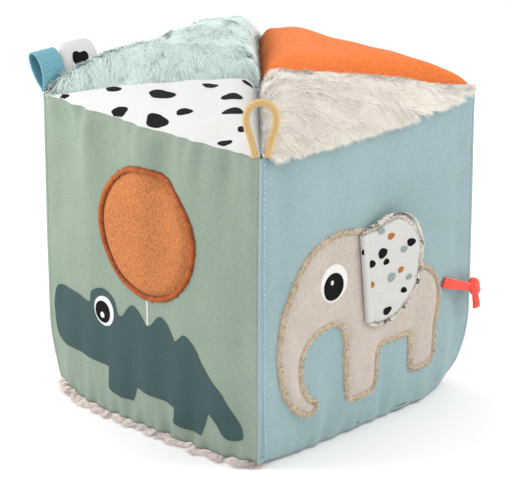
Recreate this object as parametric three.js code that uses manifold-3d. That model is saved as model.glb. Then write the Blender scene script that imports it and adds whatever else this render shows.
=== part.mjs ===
// Soft activity cube for a baby: four stuffed fabric wedges, joined by three sewn fold hinges, so that the
// closed cube opens out to a flat strip. Millimetres, +Z up, origin at the middle of the base.
// The blue face looks along -Y, the green face along -X, the orange wedge's face along +X and the teal
// wedge's face along +Y.

import * as THREE from 'three';
import { mergeVertices } from 'three/addons/utils/BufferGeometryUtils.js';
import Module from 'manifold-3d';

const wasm = await Module();
wasm.setup();

// Driving dimensions of the cube
const EDGE = 160; // outer width of the closed cube
const HALF = EDGE / 2;
const SEAM_LOW = 6; // height of the seam round the base
const SEAM_HIGH = 165; // height of the seam round the top
const COTTON = 1.2; // thickness of a lined cotton panel
const PILE = 4; // height that the fur pile adds over its backing
const CLEAR = 0.3; // gap between pieces that touch
const WEDGE_GAP = 2.4; // gap between the facing inner panels of two wedges
const CROWN_POWER = 5; // how late a top panel's crown falls away towards its seam

// Outline of a wedge seen from above
const CORNER_RADIUS = 4; // rounding at the two outer corners
const APEX_RADIUS = 9; // rounding at the corner in the middle of the cube
const CORNER_STEPS = 2;
const SIDE_STEPS = 4;

// Upright panels
const HINGE_ROOM = 2.8; // an outer panel ends this far from the hinge axis
const INNER_FROM = 7; // inner panels run from here to INNER_TO along the diagonal
const INNER_TO = 107;
const PANEL_CORNER = 6; // rounded lower corners of the outer panels

// Appliqués on the outer faces
const PLUSH = 2; // thickness of a plush appliqué
const STITCH_WIDTH = 2.6; // width of the satin-stitched border
const STITCH_PROUD = 0.4; // the border stands this far above the plush
const FACE = HALF + CLEAR; // depth at which an appliqué starts

const BALLOON = { x: 1, z: 107.5, radius: 33 };
const STRING_LOW = 59; // height of the balloon string's end

// The elephant's outline on the blue face, in x and z, clockwise from the tip of its trunk
const ELEPHANT_OUTLINE = [
  [-54, 26], [-60, 32.5], [-65, 44], [-67, 61], [-64.5, 76.5], [-60, 88], [-53.5, 100.5], [-44.5, 108],
  [-30, 112.5], [-18.5, 112], [-6, 108.5], [6, 100.5], [20, 89.5], [32.5, 81], [41, 77], [46, 72], [49, 65.5],
  [49.5, 56.5], [47.5, 41], [46.5, 29], [44, 25.5], [37, 25.2], [31, 25.2], [28.8, 29], [29, 40], [27, 46.5],
  [15, 47.2], [4, 46.5], [1, 41], [1, 28], [-2, 22.5], [-10, 21.8], [-17, 22.5], [-19.3, 27], [-20.5, 42],
  [-21.5, 58], [-27, 66.5], [-39, 67.2], [-49, 62.5], [-54, 52], [-54, 39], [-49, 29.5], [-45, 27.5],
  [-48, 23.3],
];
const ELEPHANT_STEPS = 110;
const EYE = { x: -32, z: 89, radius: 9.6, rise: 0.7 };

// The ear turns about the seam from EAR_LOW to EAR_HIGH; its outline is in x and z on the blue face
const EAR_LOW = [-9, 62.5];
const EAR_HIGH = [-14, 111];
const EAR_OUTLINE = [
  [-13.2, 110.5], [-6, 113.5], [1, 116], [10.5, 117], [19.5, 111], [24.2, 101.5], [24.2, 87], [20.3, 73],
  [11.5, 63], [1, 60], [-5.5, 60.8], [-8.3, 63.5], [-9.6, 79], [-11.4, 96],
];
const EAR_STEPS = 40;
const EAR_BACK = 1.4; // plush backing
const EAR_FILM = 0.3; // crinkle film
const EAR_FRONT = 1.0; // spotted cotton
const EAR_LIFT = 7; // degrees that the ear stands off the face at rest

// The knotted tail cord: its route, its half width and the knot's place
const TAIL_ROUTE = [
  [57.5, -85.2, 65.3], [61, -86, 64.2], [64.5, -86.4, 62.9], [67.5, -86.8, 61.8], [70.4, -87, 60.8],
];
const TAIL_RADIUS = 2.7;
const TAIL_END_ROUTE = [[75.9, -87.2, 53.4], [76.6, -87.2, 50.6], [77.2, -87, 47.6]];
const KNOT = { x: 75.3, y: -87.2, z: 59.4, radius: 5 };

// The elastic hanging loop at the front top corner, in its own upright plane: across, up
const LOOP_RADIUS = 1.9;
const LOOP_ROUTE = [
  [-3.6, 0], [-5.2, 6], [-7.6, 13], [-8.6, 19], [-6.6, 25.2], [0, 28.4], [6.6, 25.2], [8.6, 19], [7.6, 13],
  [5.2, 6], [3.6, 0],
];
const LOOP_INSET = 2.4; // distance of the loop's plane from the corner, along the diagonal
const LOOP_FOOT = SEAM_HIGH + 2.4;

// The folded ribbon and the spotted tab, sewn in the top seam of the teal wedge: outwards, up
const RIBBON_WIDTH = 15;
const RIBBON_THICK = 0.8;
const RIBBON_FROM = -79; // where the ribbon starts along X
const RIBBON_ROUTE = [
  [2.1, 1.5], [5.6, 5], [9, 10], [11.1, 15], [11.2, 18],
  [9, 19.4], [6, 18.4], [2.6, 14.6], [0.7, 9], [0.6, 2.6],
];
const TAB_WIDTH = 25;
const TAB_LENGTH = 21;
const TAB_THICK = 1.6;
const TAB_FROM = -61;
const TAB_LEAN = 27; // degrees from upright
const TAB_CORNER = 6;

// Sound makers inside the stuffing
const SQUEAKER = { x: 1, z: 107.5, radius: 17, length: 14, hole: 3, wall: 1.2, front: 78.2 };
const RATTLE = { x: 0, z: 52, depth: 63.5, radius: 14, wall: 1.2, ball: 5 };
const POCKET_ROOM = 0.6;

// Hook-and-loop patches that hold the back edge shut
const CLOSURE = { thick: 0.7, width: 20, height: 70, along: 94 };

const MATERIALS = {
  sageCotton: [0xa5b9a6, 0.86],
  blueCotton: [0xa4bdc0, 0.84],
  blushCotton: [0xebe0de, 0.86],
  greyCotton: [0xd5dadb, 0.86],
  spottedCotton: [0xf5f5f3, 0.88],
  orangeCotton: [0xf98c52, 0.84],
  rustCotton: [0xb5653b, 0.86],
  tealFur: [0xc5dad5, 0.95],
  creamFur: [0xe8e3d9, 0.95],
  fawnFur: [0xcfc0b6, 0.95],
  fawnPlush: [0xd4c8bc, 0.93],
  rustPlush: [0xd4834f, 0.93],
  goldStitch: [0xcdb793, 0.7],
  rustStitch: [0xb96a33, 0.7],
  whiteStitch: [0xf4f4f0, 0.7],
  eyeStitch: [0x1c1c1e, 0.6],
  wadding: [0xf2f0ea, 0.98],
  tealRibbon: [0x74b0bf, 0.6],
  goldCord: [0xd9b276, 0.65],
  coralCord: [0xff5a4a, 0.6],
  crinkleFilm: [0xdfe3e6, 0.3],
  clearPlastic: [0xe9eef0, 0.35],
  rattleBead: [0xe0c04a, 0.4],
  closureTape: [0xe6e6e2, 0.9],
};

function material(name) {
  const [color, roughness] = MATERIALS[name];
  return new THREE.MeshStandardMaterial({ color, roughness, metalness: 0 });
}

function addPiece(parent, name, geometry, materialName) {
  const mesh = new THREE.Mesh(geometry, material(materialName));
  mesh.name = name;
  parent.add(mesh);
  return mesh;
}

// Solids for cutting ------------------------------------------------------------------------------------

function toSolid(geometry) {
  const bare = geometry.clone();
  bare.deleteAttribute('normal');
  bare.deleteAttribute('uv');
  const welded = mergeVertices(bare, 1e-4);
  const corners = [];
  for (let i = 0; i < welded.index.count; i += 3) {
    const triangle = [0, 1, 2].map((k) => welded.index.getX(i + k));
    if (new Set(triangle).size === 3) corners.push(...triangle);
  }
  return new wasm.Manifold(new wasm.Mesh({
    numProp: 3,
    vertProperties: new Float32Array(welded.attributes.position.array),
    triVerts: new Uint32Array(corners),
  }));
}

function toGeometry(solid) {
  const mesh = solid.getMesh();
  const geometry = new THREE.BufferGeometry();
  geometry.setAttribute('position', new THREE.BufferAttribute(new Float32Array(mesh.vertProperties), 3));
  geometry.setIndex(new THREE.BufferAttribute(new Uint32Array(mesh.triVerts), 1));
  return geometry;
}

// Outlines ----------------------------------------------------------------------------------------------

function roundedPolygon(corners, radii) {
  const count = corners.length;
  const ends = corners.map((corner, i) => {
    const towards = (other) => corner.clone().add(other.clone().sub(corner).setLength(radii[i]));
    return [towards(corners[(i + count - 1) % count]), towards(corners[(i + 1) % count])];
  });
  return corners.flatMap((corner, i) => {
    const [start, end] = ends[i];
    const [sideEnd] = ends[(i + 1) % count];
    const outline = new THREE.QuadraticBezierCurve(start, corner, end).getPoints(CORNER_STEPS);
    for (let k = 1; k < SIDE_STEPS; k += 1) outline.push(end.clone().lerp(sideEnd, k / SIDE_STEPS));
    return outline;
  });
}

// The wedge's triangle seen from above, drawn in by inset all round
function wedgeOutline(inset) {
  const back = Math.SQRT2 * (WEDGE_GAP / 2 + inset);
  const front = HALF - inset;
  const reach = front - back;
  const corners = [
    new THREE.Vector2(-reach, -front),
    new THREE.Vector2(reach, -front),
    new THREE.Vector2(0, -back),
  ];
  return roundedPolygon(corners, [CORNER_RADIUS, CORNER_RADIUS, APEX_RADIUS]);
}

function smoothOutline(points, steps) {
  const curve = new THREE.CatmullRomCurve3(points.map(([x, z]) => new THREE.Vector3(x, z, 0)), true);
  const outline = curve.getSpacedPoints(steps).slice(0, steps).map((p) => new THREE.Vector2(p.x, p.y));
  return THREE.ShapeUtils.area(outline) > 0 ? outline : outline.reverse();
}

// Moves each point of a counterclockwise outline outwards
function grownOutline(outline, distance) {
  return outline.map((point, i) => {
    const before = outline[(i + outline.length - 1) % outline.length];
    const after = outline[(i + 1) % outline.length];
    const along = after.clone().sub(before).normalize();
    return new THREE.Vector2(point.x + along.y * distance, point.y - along.x * distance);
  });
}

// A strip of even thickness along a route in a plane
function bandShape(route, thickness) {
  const curve = new THREE.SplineCurve(route.map(([x, y]) => new THREE.Vector2(x, y)));
  const steps = 24;
  const side = (sign) => Array.from({ length: steps + 1 }, (_, i) => {
    const point = curve.getPoint(i / steps);
    const along = curve.getTangent(i / steps);
    const reach = sign * thickness / 2;
    return new THREE.Vector2(point.x + along.y * reach, point.y - along.x * reach);
  });
  return new THREE.Shape([...side(1), ...side(-1).reverse()]);
}

// Solids ------------------------------------------------------------------------------------------------

// A closed body over a wedge-shaped outline: each profile point is a share of the outline and a height
function loft(outline, profile) {
  const middle = new THREE.Vector2();
  outline.forEach((p) => middle.add(p));
  middle.divideScalar(outline.length);
  const points = profile.map(([share, height]) => new THREE.Vector2(share, height));
  const geometry = new THREE.LatheGeometry(points, outline.length);
  const position = geometry.attributes.position;
  for (let i = 0; i < position.count; i += 1) {
    const edge = outline[Math.floor(i / profile.length) % outline.length];
    const [share, height] = profile[i % profile.length];
    const x = THREE.MathUtils.lerp(middle.x, edge.x, share);
    const y = THREE.MathUtils.lerp(middle.y, edge.y, share);
    position.setXYZ(i, x, y, height);
  }
  return geometry;
}

// An upright slab facing -Y: shape in x and z, its front at y = -front
function standing(shape, front, thickness) {
  const geometry = new THREE.ExtrudeGeometry(shape, { depth: thickness, bevelEnabled: false });
  geometry.rotateX(Math.PI / 2);
  geometry.translate(0, thickness - front, 0);
  return geometry;
}

// An upright body of revolution about a line along Y: profile in radius and distance behind the front
function facing(profile, segments, x, front, z) {
  const geometry = new THREE.LatheGeometry(profile.map(([r, h]) => new THREE.Vector2(r, h)), segments);
  geometry.translate(x, -front, z);
  return geometry;
}

function tube(points, radius, steps) {
  const section = new THREE.Shape(
    Array.from({ length: 8 }, (_, i) => {
      const angle = (i * Math.PI) / 4;
      return new THREE.Vector2(radius * Math.cos(angle), radius * Math.sin(angle));
    }),
  );
  const path = new THREE.CatmullRomCurve3(points.map((p) => new THREE.Vector3(...p)));
  return new THREE.ExtrudeGeometry(section, { steps, extrudePath: path });
}

function uprightRectangle(left, right, low, high, lowCorner, highCorner) {
  const shape = new THREE.Shape();
  shape.moveTo(left + lowCorner, low);
  shape.lineTo(right - lowCorner, low);
  shape.quadraticCurveTo(right, low, right, low + lowCorner);
  shape.lineTo(right, high - highCorner);
  shape.quadraticCurveTo(right, high, right - highCorner, high);
  shape.lineTo(left + highCorner, high);
  shape.quadraticCurveTo(left, high, left, high - highCorner);
  shape.lineTo(left, low + lowCorner);
  shape.quadraticCurveTo(left, low, left + lowCorner, low);
  return shape;
}

const CROWN_SHARES = [0, 0.4, 0.65, 0.82, 0.93, 1];
const BASE_SHARES = [0, 0.78, 0.9, 1];
const crownHeight = (share) => 1 - share ** CROWN_POWER;
const baseHeight = (share) => SEAM_LOW * Math.max(0, (share - 0.78) / 0.22) ** 2;

function topPanel(outline, crown, pile) {
  const under = CROWN_SHARES.map((s) => [s, SEAM_HIGH - COTTON + crown * crownHeight(s)]);
  const over = CROWN_SHARES.map((s) => [s, SEAM_HIGH + (crown + pile) * crownHeight(s)]).reverse();
  return loft(outline, [...under, ...over]);
}

function basePanel(outline) {
  const under = BASE_SHARES.map((s) => [s, baseHeight(s)]);
  const over = BASE_SHARES.map((s) => [s, baseHeight(s) + COTTON]).reverse();
  return loft(outline, [...under, ...over]);
}

function filling(outline, crown) {
  const roof = SEAM_HIGH - COTTON - 2 * CLEAR;
  const low = BASE_SHARES.map((s) => [s, baseHeight(s) + COTTON + CLEAR]);
  const high = CROWN_SHARES.map((s) => [s, roof + crown * crownHeight(s)]).reverse();
  return loft(outline, [...low, ...high]);
}

// The four wedges ---------------------------------------------------------------------------------------

const PANEL_LOW = SEAM_LOW + COTTON + CLEAR;
const PANEL_HIGH = SEAM_HIGH - COTTON - CLEAR;

// turn puts the wedge in its quarter of the cube, crown is the rise of its top panel's middle, and left and
// right are the inner panels seen from outside
const WEDGES = [
  {
    name: 'green', turn: -90, crown: 8, outer: 'sageCotton', top: 'spottedCotton',
    base: 'fawnFur', left: 'rustCotton', right: 'blueCotton',
  },
  {
    name: 'blue', turn: 0, crown: 13, outer: 'blueCotton', top: 'creamFur',
    base: 'spottedCotton', left: 'blueCotton', right: 'blushCotton',
  },
  {
    name: 'orange', turn: 90, crown: 14, outer: 'blushCotton', top: 'orangeCotton',
    base: 'spottedCotton', left: 'blushCotton', right: 'greyCotton',
  },
  {
    name: 'teal', turn: 180, crown: 18, outer: 'greyCotton', top: 'tealFur',
    base: 'fawnFur', left: 'greyCotton', right: 'rustCotton',
  },
];

const cube = new THREE.Group();

function innerPanel(wedge, name, angle, from, materialName) {
  const turned = new THREE.Group();
  turned.rotation.z = THREE.MathUtils.degToRad(angle);
  wedge.add(turned);
  const shape = uprightRectangle(from, from + INNER_TO - INNER_FROM, PANEL_LOW, PANEL_HIGH, 1, 1);
  const geometry = standing(shape, -WEDGE_GAP / 2, COTTON);
  addPiece(turned, name, geometry, materialName);
  return turned;
}

function buildWedge({ name, turn, crown, outer, top, base, left, right }) {
  const wedge = new THREE.Group();
  wedge.rotation.z = THREE.MathUtils.degToRad(turn);
  cube.add(wedge);
  const outline = wedgeOutline(0);
  const reach = HALF - HINGE_ROOM;
  const outerShape = uprightRectangle(-reach, reach, PANEL_LOW, PANEL_HIGH, PANEL_CORNER, 1);
  addPiece(wedge, `${name}_outer_panel`, standing(outerShape, HALF, COTTON), outer);
  addPiece(wedge, `${name}_top_panel`, topPanel(outline, crown, top.endsWith('Fur') ? PILE : 0), top);
  addPiece(wedge, `${name}_base_panel`, basePanel(outline), base);
  const leftFace = innerPanel(wedge, `${name}_inner_left_panel`, 225, INNER_FROM, left);
  const rightFace = innerPanel(wedge, `${name}_inner_right_panel`, 135, -INNER_TO, right);
  const stuffing = filling(wedgeOutline(COTTON + CLEAR), crown);
  return { wedge, leftFace, rightFace, stuffing };
}

const [green, blue, orange, teal] = WEDGES.map(buildWedge);

// Cuts a round pocket into a wedge's stuffing from its outer side
function pocketed(stuffing, { x, z }, radius, depth) {
  const bore = new THREE.CylinderGeometry(radius, radius, depth + 2, 24);
  bore.translate(x, depth / 2 + 1 - FACE - 2, z);
  return toGeometry(toSolid(stuffing).subtract(toSolid(bore)));
}

// Sound makers: a squeaker behind the balloon and a rattle low in the blue wedge ------------------------

function addSqueaker() {
  const { x, z, radius, length, hole, wall, front } = SQUEAKER;
  const rim = radius - 3;
  const bulb = [
    [0, wall], [rim, wall], [radius - wall, 4.2], [radius - wall, length - 4.2], [rim, length - wall],
    [hole, length - wall], [hole, length], [rim + 0.6, length], [radius, length - 4], [radius, 4],
    [rim + 0.6, 0], [0, 0],
  ].reverse();
  const reed = [[1, -6], [2.6, -6], [2.6, 0], [1, 0], [1, -6]];
  addPiece(green.wedge, 'squeaker_bulb', facing(bulb, 24, x, front, z), 'clearPlastic');
  addPiece(green.wedge, 'squeaker_reed', facing(reed, 12, x, front - length + 0.4, z), 'clearPlastic');
  const pocketDepth = FACE - front + length + POCKET_ROOM;
  const stuffing = pocketed(green.stuffing, SQUEAKER, radius + POCKET_ROOM, pocketDepth);
  addPiece(green.wedge, 'green_filling', stuffing, 'wadding');
}

// One half of the rattle's shell, its open rim 0.15 mm from the middle
function halfShell(sign) {
  const { radius, wall } = RATTLE;
  const arc = (r) => Array.from({ length: 7 }, (_, i) => {
    const angle = (i / 6) * (Math.PI / 2 - CLEAR / 2 / r);
    return [r * Math.sin(angle), -r * Math.cos(angle)];
  });
  const profile = [...arc(radius), ...arc(radius - wall).reverse()];
  const points = sign < 0 ? profile : profile.map(([r, h]) => [r, -h]).reverse();
  const geometry = new THREE.LatheGeometry(points.map(([r, h]) => new THREE.Vector2(r, h)), 16);
  return geometry.rotateX(Math.PI / 2);
}

function addRattle() {
  const { x, z, depth, radius, wall, ball } = RATTLE;
  const at = (mesh, height) => mesh.position.set(x, -depth, height);
  at(addPiece(blue.wedge, 'rattle_shell_lower', halfShell(-1), 'clearPlastic'), z);
  at(addPiece(blue.wedge, 'rattle_shell_upper', halfShell(1), 'clearPlastic'), z);
  const low = z - (radius - wall - ball - 2 * CLEAR);
  at(addPiece(blue.wedge, 'rattle_ball', new THREE.SphereGeometry(ball, 12, 8), 'rattleBead'), low);
  const pocketDepth = FACE - depth + radius + POCKET_ROOM;
  const stuffing = pocketed(blue.stuffing, RATTLE, radius + POCKET_ROOM, pocketDepth);
  addPiece(blue.wedge, 'blue_filling', stuffing, 'wadding');
}

addSqueaker();
addRattle();
addPiece(orange.wedge, 'orange_filling', orange.stuffing, 'wadding');
addPiece(teal.wedge, 'teal_filling', teal.stuffing, 'wadding');

// Fold hinges and closure -------------------------------------------------------------------------------

const HINGE_RADIUS = 1.6;
const HINGE_LOW = 12;
const HINGE_HIGH = 160;

// Each hinge strip is a welt round its own fold line, on the wedge that swings
function addHinge(wedge, name, x, materialName) {
  const welt = new THREE.CylinderGeometry(HINGE_RADIUS, HINGE_RADIUS, HINGE_HIGH - HINGE_LOW, 10);
  welt.rotateX(Math.PI / 2);
  welt.translate(x, -HALF, (HINGE_LOW + HINGE_HIGH) / 2);
  addPiece(wedge, name, welt, materialName);
}

addHinge(green.wedge, 'front_hinge_strip', HALF, 'blueCotton');
addHinge(teal.wedge, 'left_hinge_strip', HALF, 'rustCotton');
addHinge(orange.wedge, 'right_hinge_strip', -HALF, 'blushCotton');

function addClosurePatch(face, name, sign) {
  const { thick, width, height, along } = CLOSURE;
  const middle = (SEAM_LOW + SEAM_HIGH) / 2;
  const start = sign * along - width / 2;
  const shape = uprightRectangle(start, start + width, middle - height / 2, middle + height / 2, 3, 3);
  addPiece(face, name, standing(shape, thick + CLEAR - WEDGE_GAP / 2, thick), 'closureTape');
}

addClosurePatch(orange.rightFace, 'closure_hook_patch', -1);
addClosurePatch(teal.leftFace, 'closure_loop_patch', 1);

// Balloon on the green face -----------------------------------------------------------------------------

function addBalloon() {
  const { x, z, radius } = BALLOON;
  const disc = [[0, 0], [radius * 0.86, 0.5], [radius, 1.1], [radius, PLUSH + 0.6], [0, PLUSH + 0.6]];
  const low = 1;
  const high = PLUSH + 1;
  const inner = radius + CLEAR;
  const outer = inner + STITCH_WIDTH;
  const border = [[inner, low], [outer, low], [outer, high], [inner, high], [inner, low]];
  const front = FACE + PLUSH + 1;
  addPiece(green.wedge, 'balloon_plush', facing(disc, 36, x, front - 0.4, z), 'rustPlush');
  addPiece(green.wedge, 'balloon_border', facing(border, 36, x, front, z), 'rustStitch');
  const string = uprightRectangle(x - 0.5, x + 0.5, STRING_LOW, z - outer - CLEAR, 0.2, 0.2);
  addPiece(green.wedge, 'balloon_string', standing(string, FACE + 0.6, 0.6), 'whiteStitch');
}

addBalloon();

// Elephant on the blue face -----------------------------------------------------------------------------

function addElephant() {
  const outline = smoothOutline(ELEPHANT_OUTLINE, ELEPHANT_STEPS);
  const front = FACE + PLUSH;
  const body = standing(new THREE.Shape(outline), front, PLUSH);
  addPiece(blue.wedge, 'elephant_body', body, 'fawnPlush');
  const ring = new THREE.Shape(grownOutline(outline, CLEAR + STITCH_WIDTH));
  ring.holes.push(new THREE.Path(grownOutline(outline, CLEAR).reverse()));
  const border = standing(ring, front + STITCH_PROUD, PLUSH + STITCH_PROUD);
  addPiece(blue.wedge, 'elephant_border', border, 'goldStitch');
  const { x, z, radius, rise } = EYE;
  const eye = [[0, 0], [radius * 0.8, 0.1], [radius, 0.4], [radius, rise], [0, rise]];
  addPiece(blue.wedge, 'elephant_eye', facing(eye, 24, x, front + CLEAR + rise, z), 'eyeStitch');
}

function addEar() {
  const hinge = new THREE.Group();
  const depth = FACE + PLUSH + STITCH_PROUD + CLEAR + EAR_BACK;
  hinge.position.set(EAR_LOW[0], -depth, EAR_LOW[1]);
  const axis = new THREE.Vector3(EAR_HIGH[0] - EAR_LOW[0], 0, EAR_HIGH[1] - EAR_LOW[1]).normalize();
  hinge.quaternion.setFromAxisAngle(axis, -THREE.MathUtils.degToRad(EAR_LIFT));
  blue.wedge.add(hinge);
  const fromHinge = EAR_OUTLINE.map(([x, z]) => [x - EAR_LOW[0], z - EAR_LOW[1]]);
  const outline = smoothOutline(fromHinge, EAR_STEPS);
  const shape = new THREE.Shape(outline);
  const small = new THREE.Shape(grownOutline(outline, -2));
  const film = CLEAR + EAR_FILM;
  const cotton = standing(shape, film + CLEAR + EAR_FRONT, EAR_FRONT);
  addPiece(hinge, 'elephant_ear_backing', standing(shape, 0, EAR_BACK), 'fawnPlush');
  addPiece(hinge, 'elephant_ear_crinkle_film', standing(small, film, EAR_FILM), 'crinkleFilm');
  addPiece(hinge, 'elephant_ear_front', cotton, 'spottedCotton');
}

function addTail() {
  addPiece(blue.wedge, 'elephant_tail_cord', tube(TAIL_ROUTE, TAIL_RADIUS, 5), 'coralCord');
  const knot = new THREE.SphereGeometry(KNOT.radius, 12, 8);
  knot.scale(0.82, 0.7, 1.05);
  addPiece(blue.wedge, 'elephant_tail_knot', knot, 'coralCord').position.set(KNOT.x, KNOT.y, KNOT.z);
  addPiece(blue.wedge, 'elephant_tail_end', tube(TAIL_END_ROUTE, 2, 3), 'coralCord');
}

addElephant();
addEar();
addTail();

// Loop, ribbon and tab sewn in the top seams ------------------------------------------------------------

function addHangingLoop() {
  const centre = -HALF + LOOP_INSET / Math.SQRT2;
  const route = LOOP_ROUTE.map(([across, up]) => [
    centre + across / Math.SQRT2, centre - across / Math.SQRT2, LOOP_FOOT + up,
  ]);
  addPiece(blue.wedge, 'hanging_loop', tube(route, LOOP_RADIUS, 22), 'goldCord');
}

// Turns a shape drawn outwards and up into a strip along X on the teal wedge's top seam
function alongTealSeam(shape, from, width) {
  const geometry = new THREE.ExtrudeGeometry(shape, { depth: width, bevelEnabled: false });
  const place = new THREE.Matrix4().set(
    0, 0, 1, from,
    1, 0, 0, HALF,
    0, 1, 0, SEAM_HIGH,
    0, 0, 0, 1,
  );
  return geometry.applyMatrix4(place);
}

function addTealTags() {
  const ribbon = alongTealSeam(bandShape(RIBBON_ROUTE, RIBBON_THICK), RIBBON_FROM, RIBBON_WIDTH);
  addPiece(cube, 'teal_ribbon_loop', ribbon, 'tealRibbon');
  const shape = uprightRectangle(0, TAB_WIDTH, 0, TAB_LENGTH, 0.5, TAB_CORNER);
  const tab = standing(shape, TAB_THICK / 2, TAB_THICK);
  tab.rotateX(-THREE.MathUtils.degToRad(TAB_LEAN));
  tab.translate(TAB_FROM, HALF + 1.6, SEAM_HIGH + 1.6);
  addPiece(cube, 'spotted_tab', tab, 'spottedCotton');
}

addHangingLoop();
addTealTags();

export default cube;
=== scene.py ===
import math

import bpy
import numpy as np
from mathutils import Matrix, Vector
from mathutils.bvhtree import BVHTree
from mathutils.geometry import delaunay_2d_cdt


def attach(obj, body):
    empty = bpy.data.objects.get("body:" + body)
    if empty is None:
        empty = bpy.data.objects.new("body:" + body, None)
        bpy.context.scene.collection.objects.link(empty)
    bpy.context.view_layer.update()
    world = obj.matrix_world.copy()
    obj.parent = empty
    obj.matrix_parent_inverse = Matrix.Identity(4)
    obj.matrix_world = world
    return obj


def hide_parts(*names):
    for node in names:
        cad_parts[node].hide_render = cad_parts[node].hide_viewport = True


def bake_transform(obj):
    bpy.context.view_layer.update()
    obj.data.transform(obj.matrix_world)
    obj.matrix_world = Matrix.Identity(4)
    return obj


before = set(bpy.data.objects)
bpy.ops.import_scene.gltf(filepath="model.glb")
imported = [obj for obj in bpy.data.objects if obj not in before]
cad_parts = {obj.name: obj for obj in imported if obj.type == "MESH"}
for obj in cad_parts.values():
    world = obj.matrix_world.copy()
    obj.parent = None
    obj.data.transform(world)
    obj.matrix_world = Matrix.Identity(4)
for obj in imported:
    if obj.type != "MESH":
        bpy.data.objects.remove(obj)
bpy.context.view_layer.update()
scene = bpy.context.scene
MM = 0.001

# Camera ------------------------------------------------------------------------------------------------

CAMERA_AZIMUTH = math.radians(-45.46)
CAMERA_ELEVATION = math.radians(19.59)
CAMERA_DISTANCE = 1.350
CAMERA_TARGET = Vector((0, 0, 0.085))
CAMERA_LENS = 178.2  # millimetres
CAMERA_SENSOR = 36
CAMERA_SHIFT = (-0.006640625, -0.0033203125)


def linked(name, data):
    ob = bpy.data.objects.new(name, data)
    scene.collection.objects.link(ob)
    return ob


def aimed(ob, location, target):
    """Puts a camera or a lamp at a place, looking at its target."""
    ob.location = location
    ob.rotation_mode = "QUATERNION"
    ob.rotation_quaternion = (Vector(target) - Vector(location)).to_track_quat("-Z", "Y")


def add_camera():
    data = bpy.data.cameras.new("camera")
    cam = linked("camera", data)
    back = Vector((math.sin(CAMERA_AZIMUTH) * math.cos(CAMERA_ELEVATION),
                   -math.cos(CAMERA_AZIMUTH) * math.cos(CAMERA_ELEVATION),
                   math.sin(CAMERA_ELEVATION)))
    aimed(cam, CAMERA_TARGET + back * CAMERA_DISTANCE, CAMERA_TARGET)
    data.sensor_width = CAMERA_SENSOR
    data.lens = CAMERA_LENS
    data.shift_x, data.shift_y = CAMERA_SHIFT
    data.clip_start = 0.05
    data.clip_end = 50
    scene.camera = cam


add_camera()

# Meshes ------------------------------------------------------------------------------------------------


def mesh_object(name, verts, faces, material, smooth=True):
    me = bpy.data.meshes.new(name)
    me.from_pydata([tuple(v) for v in verts], [], faces)
    me.validate()
    me.update()
    if smooth:
        me.shade_smooth()
    me.materials.append(material)
    return linked(name, me)


def place(ob, body, slot, *nodes):
    """Lets a piece ride on its body and stand for the CAD nodes it replaces. Its slot is not used."""
    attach(ob, body)
    if nodes:
        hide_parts(*nodes)
    return ob


def applied(ob, **modifiers):
    """Adds the modifiers in order and bakes them into the mesh."""
    for kind, settings in modifiers.items():
        m = ob.modifiers.new(kind, kind.upper())
        for key, value in settings.items():
            setattr(m, key, value)
    dg = bpy.context.evaluated_depsgraph_get()
    me = bpy.data.meshes.new_from_object(ob.evaluated_get(dg), depsgraph=dg)
    ob.modifiers.clear()
    old = ob.data
    ob.data = me
    bpy.data.meshes.remove(old)
    me.name = ob.name
    return ob


def set_tone(me, values):
    """Gives every vertex of a mesh its tone, from 0, dark, to 1, light."""
    attribute = me.attributes.new("fibre", "FLOAT", "POINT")
    attribute.data.foreach_set("value", np.asarray(values, np.float32).ravel())


def coords(ob):
    co = np.empty(len(ob.data.vertices) * 3)
    ob.data.vertices.foreach_get("co", co)
    return co.reshape(-1, 3)


def unit(vectors):
    """Each row scaled to a length of 1."""
    return vectors / (np.linalg.norm(vectors, axis=1, keepdims=True) + 1e-12)


def grid_faces(rows, count):
    """Quads over rows of points, each row with the same count of them."""
    return [(k * count + i, (k + 1) * count + i, (k + 1) * count + i + 1, k * count + i + 1)
            for k in range(rows - 1) for i in range(count - 1)]


def tree_of(verts, faces):
    return BVHTree.FromPolygons([Vector(v) for v in verts], faces)


def set_coords(ob, co):
    ob.data.vertices.foreach_set("co", np.ascontiguousarray(co, float).ravel())
    ob.data.update()


def waves(x, seed, count=6, low=0.5, high=2.0):
    """Smooth one-dimensional noise of unit size: a sum of sines with seeded frequencies and phases."""
    r = np.random.RandomState(seed)
    total = np.zeros_like(x)
    for _ in range(count):
        f = r.uniform(low, high)
        total += np.sin(2 * np.pi * f * x + r.uniform(0, 2 * np.pi))
    return total / math.sqrt(count)


# Materials ---------------------------------------------------------------------------------------------


def rgb(h):
    out = []
    for s in (16, 8, 0):
        c = ((h >> s) & 255) / 255
        out.append(c / 12.92 if c <= 0.04045 else ((c + 0.055) / 1.055) ** 2.4)
    return (*out, 1.0)


def shade(colour, k):
    return (*[min(1, c * k) for c in colour[:3]], 1.0)


def grey(level):
    return (level, level, level, 1)


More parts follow.
